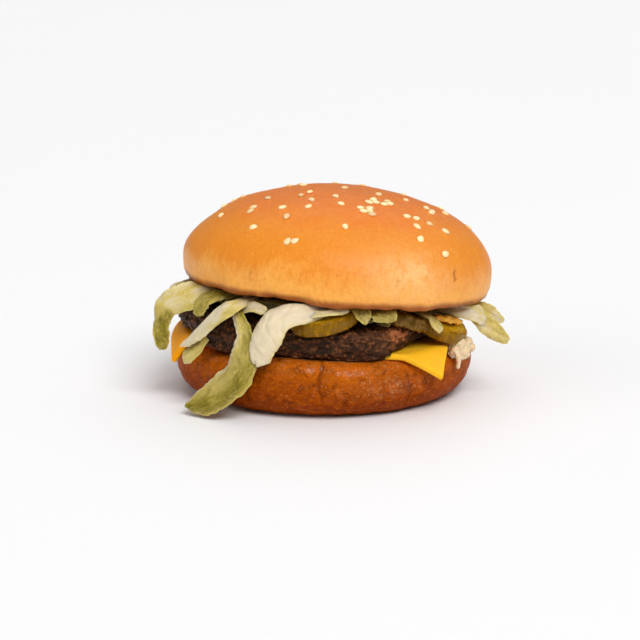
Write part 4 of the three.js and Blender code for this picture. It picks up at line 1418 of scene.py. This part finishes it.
# Share of the width, depth of the lumps that they are cut from, length and seed of the notches.
LEAF_NOTCHES = (0.06, 0.35, 3.1, 21)
# Where the far shreds start in degrees, the step between them and their number.
FAR_SHREDS = (112, 19, 9)
# Seeds of the draws of their shapes and of their tints.
FAR_DRAWS = (90211, 611)
# Seed and number of each row of short ends round the bed.
TUFT_ROWS = ((5503, 12), (77, 34))
# Each shred's stations from its root to its tip (azimuth, distance from the middle, height, width), how it
# twists, ruffles and curls, its thickness where it is a rib, how green it is and how much greener its left edge
# is.
SHREDS = {
    "left_leaf": dict(
        stations=((-54, 39, 42.4, 12), (-57, 50, 41.8, 12.4), (-61, 57.4, 39.4, 11.6), (-65, 63, 35.6, 9),
                  (-66, 64.8, 30, 6.2), (-65.5, 65, 25, 6), (-65, 65, 19.6, 3.4)),
        twist=-48, ruffle=0.8, curl=0.1, green=(0.42, 0.4, 0.35, 0.4, 0.8, 0.85, 0.8), lean=0.15,
    ),
    "left_inner": dict(
        stations=((-48, 42, 42.2, 8), (-50, 51, 41.6, 9), (-52, 56, 38.6, 9), (-52.6, 57.6, 33.6, 5)),
        ruffle=0.6, curl=0.1, green=(0.8, 0.75, 0.75, 0.8),
    ),
    "pale_diagonal": dict(
        stations=((-33, 46, 41.6, 5.5), (-35.5, 57.4, 39.8, 6.8), (-41.5, 59.6, 35.2, 6.8),
                  (-47.5, 60.8, 29.6, 6.8), (-51.8, 61.6, 25.6, 5), (-56, 62.2, 22.8, 1.4)),
        curl=0.16, green=(0.3, 0.3, 0.22, 0.14, 0.1, 0.1), lean=0.1,
    ),
    "low_curl": dict(
        stations=((-46.5, 58.2, 27.6, 3.6), (-49.6, 60, 23.8, 5.2), (-53, 61.2, 21.2, 7), (-56, 61.6, 20, 6)),
        curl=0.3, green=(0.56, 0.5, 0.44, 0.4),
    ),
    "long_green": dict(
        stations=((-40, 43, 38.4, 4), (-34.5, 54.5, 36.8, 4.2), (-29.4, 57.6, 30.6, 5.8),
                  (-29.2, 59.6, 23.5, 9.4), (-31, 61, 16.8, 14.4), (-36, 62.6, 11.2, 15.4),
                  (-42, 64.8, 7.2, 11.6), (-47.6, 67, 3.9, 2.6)),
        ruffle=0.5, curl=0.12, green=(0.5, 0.5, 0.58, 0.6, 0.6, 0.6, 0.62, 0.66), lean=0.75,
    ),
    "white_rib": dict(
        stations=((6, 42, 38.2, 5), (-2.5, 51, 38.9, 6.8), (-10, 56.4, 39, 8.6), (-16.8, 58.6, 36.4, 10.4),
                  (-20.2, 59.5, 31.6, 12.2), (-22.3, 60.2, 26, 10.4), (-23.6, 60.4, 20.4, 7)),
        thick=2.2, curl=0.14, green=(0.2, 0.1, 0.02, 0, 0.04, 0.1, 0.12),
    ),
    "pale_arch": dict(
        stations=((-42, 43, 35.6, 3.4), (-35, 51.5, 37.4, 3.6), (-28, 53.6, 39.4, 3.8), (-22, 54.6, 38.4, 3.4)),
        green=(0.3, 0.3, 0.25, 0.3),
    ),
    "pickle_crumple": dict(
        stations=((-22, 44, 38.8, 2.4), (-14, 53, 37.4, 2.2), (-6, 54.8, 38, 2.4), (2, 54.6, 38.8, 2.6),
                  (9, 52, 39.2, 2.4)),
        ruffle=1.0, green=(0.42, 0.4, 0.3, 0.28, 0.36),
    ),
    "fold_one": dict(
        stations=((12.5, 41, 38.2, 6), (14, 50.6, 38.6, 6), (14.6, 53.4, 36.6, 5), (15, 53.8, 33.9, 1.4)),
        ruffle=0.7, green=(0.66, 0.66, 0.56, 0.5),
    ),
    "fold_two": dict(
        stations=((21.5, 41, 37.6, 8), (22, 51, 38, 9), (22.2, 53.6, 36.4, 8.8), (22, 54, 34.4, 8)),
        ruffle=0.7, green=(0.72, 0.72, 0.66, 0.6),
    ),
    "pale_peg": dict(
        stations=((42, 44, 34.6, 4), (45, 51, 33.6, 5), (46.4, 54.4, 31, 4.6), (47.6, 55.6, 28.4, 3)),
        thick=1.6, green=(0.6, 0.52, 0.46, 0.46),
    ),
    "cream_band": dict(
        stations=((61, 42, 35.2, 7), (65, 53, 34, 7.4), (68, 59, 31.6, 6.4), (69.4, 62, 27.6, 3)),
        twist=40, ruffle=0.6, green=(0.3, 0.3, 0.25, 0.2),
    ),
    "right_long": dict(
        stations=((75, 40, 34.6, 8), (74, 52, 33, 8.4), (71, 58.6, 30.6, 7.4), (69.5, 63, 27.4, 6.6),
                  (71, 67, 23.6, 5.6), (73, 69.6, 20.8, 3)),
        twist=66, ruffle=0.9, curl=0.12, green=(0.5, 0.46, 0.46, 0.42, 0.38, 0.3), lean=0.2,
    ),
    "right_point": dict(
        stations=((82, 42, 34, 5), (81, 55, 32.4, 7), (79, 62, 29.4, 6), (81, 66.8, 26.6, 1.6)),
        twist=62, ruffle=0.5, green=(0.5, 0.44, 0.36, 0.3),
    ),
}


def far_shreds(burger):
    """Shreds of the sides that face away, drawn at random round the bed."""
    random, tints = (random_from(seed) for seed in FAR_DRAWS)
    start, spacing, number = FAR_SHREDS
    shreds = []
    for i in range(number):
        root = start + spacing * (i + 0.9 * (random() - 0.5))
        drift = 52 * (random() - 0.5)
        shoulder = 0.5 + random()
        # Every third shred hangs low.
        hang = (13 if i % 3 == 1 else 3) + 7 * random()
        x, y, _ = polar(root, 52, 0)
        high = float(crown_flat(burger.crown, x, y)) - 1.6 - shoulder
        width = 4 + 6.4 * random()
        stations = (
            (root, 40, high, width * 0.8),
            (root + 0.3 * drift, 52, high - 0.4, width),
            (root + 0.7 * drift, 58.6, high - 2 - 0.4 * hang, width * 0.95),
            (root + drift, 60.6, high - 3 - hang, width * 0.4),
        )
        ruffle, curl = 0.3 + 0.5 * random(), 0.1 * random()
        tone = 0.1 + 0.6 * tints()
        lean = 0.4 * tints() - 0.2
        green = (tone,) * len(stations)
        shreds.append(dict(stations=stations, ruffle=ruffle, curl=curl, green=green, lean=lean, grain=0.5))
    return shreds


def rim_tufts(burger, seed, number):
    """Short ends that stick out of the bed's rim all the way round."""
    random, tints = random_from(seed), random_from(seed + 1)
    tufts = []
    for i in range(number):
        root = 360 / number * (i + 0.7 * (random() - 0.5))
        out = 48 + 4.5 * random()
        x, y, _ = polar(root, 50, 0)
        low = max(float(patty_top(burger, x, y)) + 1, float(patty_top(burger, 0, 0)) - 3)
        height = mix(low, float(crown_flat(burger.crown, x, y)) - 1, 0.15 + 0.75 * random())
        width = 2.6 + 2.6 * random()
        stations = (
            (root, 38, height + 0.5, width),
            (root + 5 * (random() - 0.5), 45, height + 0.6 * (random() - 0.5), width),
            (root + 14 * (random() - 0.5), out, height - 1.4 * random(), width * 0.8),
        )
        green = (0.15 + 0.7 * tints(),) * len(stations)
        ruffle, curl = 0.3 + 0.4 * tints(), 0.2 * tints()
        tufts.append(dict(stations=stations, ruffle=ruffle, curl=curl, green=green, grain=0.7))
    return tufts


def through(stations, along):
    """Points of a centripetal Catmull-Rom curve through the stations, at shares of the way along it."""
    knots = polar(*np.array([station[:3] for station in stations], float).T)
    knots = np.concatenate([[2 * knots[0] - knots[1]], knots, [2 * knots[-1] - knots[-2]]])
    last = len(stations) - 1
    step = np.clip(np.floor(along * last).astype(int), 0, last - 1)
    w = (along * last - step)[..., None]
    p0, p1, p2, p3 = (knots[step + k] for k in range(4))
    pairs = ((p0, p1), (p1, p2), (p2, p3))
    d0, d1, d2 = (np.sqrt(np.linalg.norm(b - a, axis=-1, keepdims=True)) for a, b in pairs)
    t1 = ((p1 - p0) / d0 - (p2 - p0) / (d0 + d1) + (p2 - p1) / d1) * d1
    t2 = ((p2 - p1) / d1 - (p3 - p1) / (d1 + d2) + (p3 - p2) / d2) * d1
    return p1 + t1 * w + (3 * (p2 - p1) - 2 * t1 - t2) * w**2 + (2 * (p1 - p2) + t1 + t2) * w**3


def kept_clear(burger, points):
    """Points of a leaf's middle, moved off the crown, the patty and the pickle chips."""
    room = burger.pickles.thickness / MM / 2 + 0.7
    for radius, at, tip, roll, _ in PICKLES.values():
        matrix = pickle_frame(at, tip, roll)
        local = (points - matrix[:3, 3]) @ matrix[:3, :3]
        above = local[..., 2]
        near = smooth(reach_of(local), radius + 1.8, radius - 0.4) * smooth(above, -room - 1, -0.4)
        points = points + (near * np.maximum(0, room - above))[..., None] * matrix[:3, 2]
    x, y = points[..., 0], points[..., 1]
    height = np.minimum(points[..., 2], crown_floor(burger.crown, x, y) - 0.7)
    beyond = np.hypot(x - PATTY_MIDDLE[0], y - PATTY_MIDDLE[1]) / (burger.patty.radius / MM) > 0.97
    height = np.where(beyond, height, np.maximum(height, patty_top(burger, x, y) + 0.5))
    return np.stack([x, y, height], -1)


def leaf_axes(stations, path, t, twist):
    """Directions across a strip and out of its face. Its twist grows from its root on."""
    before, after = (through(stations, np.clip(t + step, 0, 1)) for step in (-0.004, 0.004))
    ahead = unit(after - before)
    out = unit(path * (1, 1, 0))
    out[..., 2] = LEAF_RAISE
    normal = unit(out - ahead * (out * ahead).sum(-1, keepdims=True))
    turn = (math.radians(twist) * smooth(t, 0, 0.7))[..., None]
    normal = normal * np.cos(turn) + np.cross(ahead, normal) * np.sin(turn)
    return np.cross(ahead, normal), normal


def leaf_width(plain, t, off, run, order):
    """A strip's plain width, torn and notched at its edges and narrower at its tip."""
    hand = np.sign(off)
    torn = sum(part * lumps(run / size, order, hand + seed) for part, size, seed in LEAF_TEARS)
    part, depth, size, seed = LEAF_NOTCHES
    notched = part * np.maximum(0, depth - np.abs(lumps(run / size, order, hand + seed))) / depth
    return plain * (1.05 + torn - notched) * (1 - 0.5 * smooth(t, 0.93, 1))


def leaf_relief(width, turns, off, run, order, ruffle, rib):
    """How far the waves, the frilled edges, the crinkles and the middle crease of a strip stand out."""
    small = np.minimum(1, width / 6)
    wave = ruffle * np.sin(2.2 * turns + 2.4 * off) * off**2
    frill = 0.3 * (0.2 + ruffle) * np.sin(run * 1.5 + 4 * lumps(run / 4, order, 1) + np.sign(off)) * off**4
    slant = run / 5 + 0.9 * off
    folds = 0.45 - np.abs(lumps(slant, 1.3 * off + order * 5, 2))
    folds = folds - 0.5 * np.abs(lumps(2.1 * slant, 2 * off, order * 3))
    crinkle = (0.6 * folds + 0.14 * lumps(run / 1.5, 3 * off + order * 5, 6)) * np.minimum(1, width / 5)
    if rib:
        return (wave + frill) * small + 0.85 * crinkle
    return (wave + frill - 0.12 * hump(off, 0, 0.3)) * small + crinkle


def shred(burger, order, stations, green, twist=0, curl=0, ruffle=0, thick=0, lean=0, grain=LEAF_GRAIN):
    """One strip of leaf as points, faces and marks."""
    last = len(stations) - 1
    widths = [float(station[3]) for station in stations]
    knots = through(stations, np.linspace(0, 1, last * 8 + 1))
    distance = np.linalg.norm(np.diff(knots, axis=0), axis=1).sum()
    rows = int(np.clip(distance / grain, *LEAF_ROWS))
    columns = int(np.clip(max(widths) / grain, *LEAF_COLUMNS))
    # Shares of the way along the strip, and across it from -1 to 1.
    t, off = np.meshgrid(np.linspace(0, 1, rows), np.linspace(0, 1, columns) * 2 - 1, indexing="ij")
    run = t * distance
    ragged = 0.03 * lumps(2 * (off + 1), order, 3) * smooth(t, 0.8, 1)
    path = through(stations, np.clip(t + ragged, 0, 1))
    beside, normal = leaf_axes(stations, path, t, twist)
    station = np.arange(last + 1)
    width = leaf_width(np.interp(t * last, station, widths), t, off, run, order)
    raised = leaf_relief(width, last * t, off, run, order, ruffle, bool(thick)) - curl * width * off**2
    points = path + beside * (off * width / 2)[..., None] + normal * raised[..., None]
    points = kept_clear(burger, points)
    facing = unit(np.cross(np.gradient(points, axis=0), np.gradient(points, axis=1)))
    margin = (1 - 0.72 * np.abs(off) ** 3) * (1 - 0.6 * smooth(t, 0.96, 1))
    skin, faces = sheet(points, facing, (thick or burger.lettuce.thickness / MM) * margin)
    tone = np.interp(t * last, station, green) - lean * off / 2 + 0.12 * lumps(run / 5, 2 * off, order)
    marks = {
        "green": np.clip(tone, 0, 1),
        # Pale margins: partly translucent edges, partly painted edge highlights.
        "margin": np.abs(off) ** 9,
        # Painted shade, stronger nearer the middle of the bed.
        "deep": smooth(reach_of(points), 57, 46),
        "run": run,
        "across": off * width / 2,
    }
    # Both faces of the strip carry the same marks.
    both = {name: np.tile(values.ravel(), 2) for name, values in marks.items()}
    return skin, faces, {**both, "strip": order * 9.0}


def lettuce_core(burger):
    """The middle of the bed, which fills the room below the crown, as points, faces and marks."""
    rim, level = BED_RADIUS, BED_RADIUS * BED_LEVEL
    level_steps, slope_steps, rim_steps = BED_STEPS
    points, faces = turned(
        BED_SEGMENTS,
        [(0, 0)],
        straight((BED_FIRST, 0), (level, 0), level_steps),
        straight((level, 0), (rim, BED_BEVEL), slope_steps),
        quarter((rim, BED_BEVEL), (rim + 1, 0.5), 2, rim_steps),
        quarter((rim + 1, 0.5), (rim, 1 - BED_BEVEL), 2, rim_steps, True),
        straight((rim, 1 - BED_BEVEL), (level, 1), slope_steps),
        straight((level, 1), (BED_FIRST, 1), level_steps),
        [(0, 1)],
    )
    around, up = np.degrees(azimuth_of(points)), points[:, 2]
    edge = smooth(reach_of(points), 0.8 * rim, rim)
    folds = lumps(around / 4, 5 * up, 3) + 0.5 * lumps(around / 1.7, 12 * up, 7)
    out = 1 + edge * (0.05 * lumps(points[:, 0] / 5, points[:, 1] / 5, 8 * up) + 0.022 * folds)
    x, y = (points[:, :2] * out[:, None]).T
    clear = GAP + 0.15
    low, high = patty_top(burger, x, y) + clear, crown_flat(burger.crown, x, y) - clear
    # The core lies deep in the bed and takes most of the painted shade.
    marks = {"green": 0.5 + 0.35 * folds, "margin": 0.0, "deep": 0.9, "run": x, "across": y, "strip": 0.0}
    return np.stack([x, y, mix(low, high, up)], -1), faces, marks


def lettuce_finish(lettuce):
    finish = Finish(
        "lettuce",
        Specular_IOR_Level=0.25,
        Subsurface_Weight=0.45,
        Subsurface_Scale=0.0025,
        Subsurface_Radius=(1.0, 0.9, 0.3),
    )
    run, across, strip = (finish.mark(name) for name in ("run", "across", "strip"))

    def pattern(long, wide, detail, distortion=0.0):
        """Noise that follows each strip, its lumps that many millimetres long and wide."""
        axes = {0: finish.math("DIVIDE", run, long), 1: finish.math("DIVIDE", across, wide), 2: strip}
        at = finish.add("ShaderNodeCombineXYZ", axes).outputs[0]
        return finish.noise(1 / MM, detail, 0.6, distortion, at)

    green = finish.mark("green")
    patch, streaks, fine = pattern(9, 5, 3, 0.6), pattern(7, 0.8, 4, 0.3), finish.noise(0.9, 4, 0.65)
    leafy = finish.fit(green, 0.12, 0.5)
    ridge = finish.fit(finish.math("ABSOLUTE", finish.minus(pattern(5, 2.2, 2, 0.8), 0.5)), 0.05, 0.0)
    veins = finish.times(ridge, leafy)
    uneven = finish.sum(0.0, (patch, 0.8), (streaks, 0.5), (fine, 0.2))
    leaf = finish.ramp(
        finish.plus(green, finish.times(uneven, finish.fit(leafy, 0.0, 1.0, 0.4, 1.0))),
        (0.0, lettuce.rib),
        (0.2, scaled(lettuce.rib, 0.9)),
        (0.4, lettuce.pale),
        (0.64, mix_tone(lettuce.pale, lettuce.green, 0.55)),
        (0.86, lettuce.green),
        (1.0, scaled(lettuce.green, 0.66)),
    )
    specks = finish.times(finish.fit(finish.noise(1.5, 3, 0.6), 0.56, 0.7), finish.fit(green, 0.6, 0.8))
    # Veins, dark specks and pale margins lie over the leaf, and the painted shade deep in the bed over them
    # all. The pale margins are partly translucent edges and partly painted edge highlights.
    for amount, weight, over in (
        (veins, 0.35, scaled(lettuce.pale, 1.05)),
        (specks, 0.36, scaled(lettuce.green, 0.4)),
        (finish.mark("margin"), 0.7, scaled(lettuce.pale, 1.2)),
        (finish.mark("deep"), 0.7, (0.12, 0.08, 0.014)),
    ):
        leaf = finish.blend(finish.times(amount, weight), leaf, over)
    finish.paint(leaf)
    finish.roughen(patch, 0.24, 0.42)
    finish.relief((streaks, 0.4), (veins, 0.1), (patch, 0.5), (fine, 0.08))
    return finish.material


class BURGER_OT_lettuce(bpy.types.Operator):
    """Builds the shredded lettuce: a folded core with strips of leaf that hang out all round"""

    bl_idname = "burger.lettuce"
    bl_label = "Shredded lettuce"

    def execute(self, context):
        burger = context.scene.burger
        material = lettuce_finish(burger.lettuce)
        core = make_mesh("lettuce_core", *lettuce_core(burger))
        place(context, core, material, "lettuce", "shredded_lettuce")
        strips = [*SHREDS.values(), *far_shreds(burger)]
        for seed, number in TUFT_ROWS:
            strips += rim_tufts(burger, seed, number)
        shreds = joined([shred(burger, order, **strip) for order, strip in enumerate(strips)])
        mesh = make_mesh("lettuce_shreds", *shreds)
        mesh.set_sharp_from_angle(angle=math.radians(50))
        place(context, mesh, material, "lettuce", "shredded_lettuce")
        return {"FINISHED"}


# ---- Sauce ------------------------------------------------------------------------------------------

# Azimuth, distance from the middle, height and half sizes of each lump of the dressing and of the relish.
DRESSING = (
    ((60, 55.6, 20.4), (5.2, 3.6, 3.8)),
    ((58.4, 56.8, 22.8), (2.3, 1.9, 1.5)),
    ((65.6, 57.0, 21.8), (2.0, 1.8, 1.6)),
    ((70, 56.4, 18.8), (1.9, 1.8, 1.6)),
    ((60.8, 57.6, 18.0), (2.6, 1.8, 1.4)),
    ((56, 57.6, 17.0), (1.1, 1.0, 2.0)),
    ((55.8, 57.6, 14.8), (0.8, 0.8, 1.3)),
)
RELISH = (
    ((52, 51.2, 32.3), (2.6, 1.5, 0.9)),
    ((55.6, 52.2, 31.5), (3.4, 1.8, 1.1)),
    ((59.6, 53.2, 30.2), (3.6, 2.0, 1.0)),
    ((63.6, 53.4, 29), (2.8, 1.6, 0.8)),
)
# Sizes of the curds on a lump of radius 1, and how far they stand out on the dressing and on the relish.
CURDS = (0.42, 0.19)
DRESSING_ROUGHNESS, RELISH_ROUGHNESS = 0.3, 0.26
# Segments and steps of a lump, and the voxels of the skin round the dressing and the relish.
LUMP_SEGMENTS, LUMP_STEPS = 64, 24
DRESSING_VOXEL, RELISH_VOXEL = 0.3, 0.25


def blobs(name, places, roughness):
    """Overlapping uneven balls as one mesh."""
    foot, waist, top = (0, -1), (1, 0), (0, 1)
    halves = quarter(foot, waist, 2, LUMP_STEPS), quarter(waist, top, 2, LUMP_STEPS, True)
    ball, faces = turned(LUMP_SEGMENTS, *halves)
    parts = []
    for order, (at, size) in enumerate(places):
        curds = lumps_at(ball, CURDS[0], order * 3 + 1) + 0.5 * lumps_at(ball, CURDS[1], order)
        matrix = Matrix.Translation(polar(*at).tolist()) @ Matrix.Rotation(math.radians(at[0]), 4, "Z")
        points = ball * (1 + roughness * curds)[:, None] * size
        parts.append((carried(points, np.array(matrix)), faces, {}))
    return make_mesh(name, *joined(parts))


def fused(context, mesh, voxel):
    """One closed skin round overlapping shapes."""

    def dress(holder):
        remesh = holder.modifiers.new("Fuse", "REMESH")
        remesh.mode = "VOXEL"
        remesh.voxel_size = voxel * MM
        holder.modifiers.new("Soften", "SMOOTH").iterations = 3

    skin = settled(context, mesh, dress)
    skin.shade_smooth()
    return skin


def sauce_finish(name, tone, dark):
    finish = Finish(
        name,
        Specular_IOR_Level=0.6,
        Coat_Weight=0.3,
        Coat_Roughness=0.12,
        Subsurface_Weight=0.4,
        Subsurface_Scale=0.003,
    )
    patch, fine = finish.noise(1.8, 4, 0.65), finish.noise(0.6, 3, 0.6)
    curds = finish.sum(patch, (fine, 0.4))
    finish.paint(finish.ramp(curds, (0.3, scaled(tone, dark)), (0.55, tone), (0.8, scaled(tone, 1.1))))
    finish.roughen(patch, 0.2, 0.42)
    finish.relief((patch, 0.5), (fine, 0.2))
    return finish.material


class BURGER_OT_sauce(bpy.types.Operator):
    """Builds the dressing that oozes out at the right, and the relish above the right pickle chip"""

    bl_idname = "burger.sauce"
    bl_label = "Sauces"

    def execute(self, context):
        sauce = context.scene.burger.sauce
        dressing = fused(context, blobs("dressing", DRESSING, DRESSING_ROUGHNESS), DRESSING_VOXEL)
        place(context, dressing, sauce_finish("dressing", sauce.dressing, 0.85), "sauce", "sauce_dollop")
        relish = fused(context, blobs("relish", RELISH, RELISH_ROUGHNESS), RELISH_VOXEL)
        place(context, relish, sauce_finish("relish", sauce.relish, 0.75), None)
        return {"FINISHED"}


# ---- Stage ------------------------------------------------------------------------------------------

CAMERA_PLACE = (-1.887, -679.68, 169.16)
CAMERA_DOWN = 12.0
CAMERA_LENS = 104.34
SENSOR = 36.0
# Nearest and furthest distance that the camera sees, in metres.
CAMERA_REACH = (0.01, 50)
FLOOR_HALF = 9000.0
# Width, azimuth and elevation in degrees of each soft light, by the setting that holds its strength.
LIGHTS = {"key": (34, 24, 48), "top": (70, 165, 62), "fill": (60, -60, 25)}
LIGHT_DISTANCE = 500


def soft_light(context, name, energy, width, azimuth, elevation):
    """A wide distant light, so that the floor is lit evenly."""
    data = bpy.data.lights.new(name, "SUN")
    data.energy = energy
    data.angle = math.radians(width)
    lamp = bpy.data.objects.new(name, data)
    rise = math.radians(elevation)
    lamp.location = polar(azimuth, LIGHT_DISTANCE * math.cos(rise), LIGHT_DISTANCE * math.sin(rise)) * MM
    lamp.rotation_euler = (-lamp.location).to_track_quat("-Z", "Y").to_euler()
    context.scene.collection.objects.link(lamp)


class BURGER_OT_stage(bpy.types.Operator):
    """Lays the pale floor, hangs the soft lights and sets up the camera"""

    bl_idname = "burger.stage"
    bl_label = "Stage"

    def execute(self, context):
        scene, stage = context.scene, context.scene.burger.stage
        finish = Finish("floor", Roughness=0.6)
        tone = finish.ramp(finish.noise(400, 2), (0.0, scaled(stage.floor, 0.985)), (1.0, stage.floor))
        finish.paint(tone)
        corners = FLOOR_HALF * np.array([(-1, -1, 0), (1, -1, 0), (1, 1, 0), (-1, 1, 0)])
        mesh = make_mesh("floor", corners, [np.array([[0, 1, 2, 3]])])
        mesh.materials.append(finish.material)
        floor = bpy.data.objects.new("floor", mesh)
        scene.collection.objects.link(floor)

        world = bpy.data.worlds.new("studio")
        world.use_nodes = True
        backdrop = world.node_tree.nodes["Background"].inputs
        backdrop["Color"].default_value = (1, 1, 1, 1)
        backdrop["Strength"].default_value = stage.sky
        scene.world = world
        for name, lamp in LIGHTS.items():
            soft_light(context, name, getattr(stage, name), *lamp)

        data = bpy.data.cameras.new("camera")
        data.sensor_fit, data.sensor_width, data.lens = "HORIZONTAL", SENSOR, CAMERA_LENS
        data.clip_start, data.clip_end = CAMERA_REACH
        camera = bpy.data.objects.new("camera", data)
        camera.location = [value * MM for value in CAMERA_PLACE]
        camera.rotation_euler = (math.radians(90 - CAMERA_DOWN), 0, 0)
        scene.collection.objects.link(camera)
        scene.camera = camera
        scene.view_settings.view_transform = "Standard"
        return {"FINISHED"}


# ---- Panel and registration -------------------------------------------------------------------------

# The operators in the order in which they run, and the settings that each one reads.
STEPS = (
    (BURGER_OT_stage, "stage"),
    (BURGER_OT_crown, "crown"),
    (BURGER_OT_seeds, "seeds"),
    (BURGER_OT_heel, "heel"),
    (BURGER_OT_cheese, "cheese"),
    (BURGER_OT_patty, "patty"),
    (BURGER_OT_pickles, "pickles"),
    (BURGER_OT_lettuce, "lettuce"),
    (BURGER_OT_sauce, "sauce"),
)


class BURGER_PT_kitchen(bpy.types.Panel):
    """Lists the burger's pieces with their settings"""

    bl_idname = "BURGER_PT_kitchen"
    bl_label = "Cheeseburger"
    bl_space_type = "VIEW_3D"
    bl_region_type = "UI"
    bl_category = "Burger"

    def draw(self, context):
        for operator, group in STEPS:
            box = self.layout.box()
            box.operator(operator.bl_idname)
            settings = getattr(context.scene.burger, group)
            for name in settings.__annotations__:
                box.prop(settings, name)


CLASSES = (
    CrownSettings,
    SeedSettings,
    HeelSettings,
    CheeseSettings,
    PattySettings,
    PickleSettings,
    LettuceSettings,
    SauceSettings,
    StageSettings,
    BurgerSettings,
    *(operator for operator, _ in STEPS),
    BURGER_PT_kitchen,
)


def register():
    for cls in CLASSES:
        bpy.utils.register_class(cls)
    bpy.types.Scene.burger = PointerProperty(type=BurgerSettings)


def unregister():
    del bpy.types.Scene.burger
    for cls in reversed(CLASSES):
        bpy.utils.unregister_class(cls)


def main():
    register()
    bpy.ops.burger.stage()
    bpy.ops.burger.crown()
    bpy.ops.burger.seeds()
    bpy.ops.burger.heel()
    bpy.ops.burger.cheese()
    bpy.ops.burger.patty()
    bpy.ops.burger.pickles()
    bpy.ops.burger.lettuce()
    bpy.ops.burger.sauce()


if __name__ == "__main__":
    main()
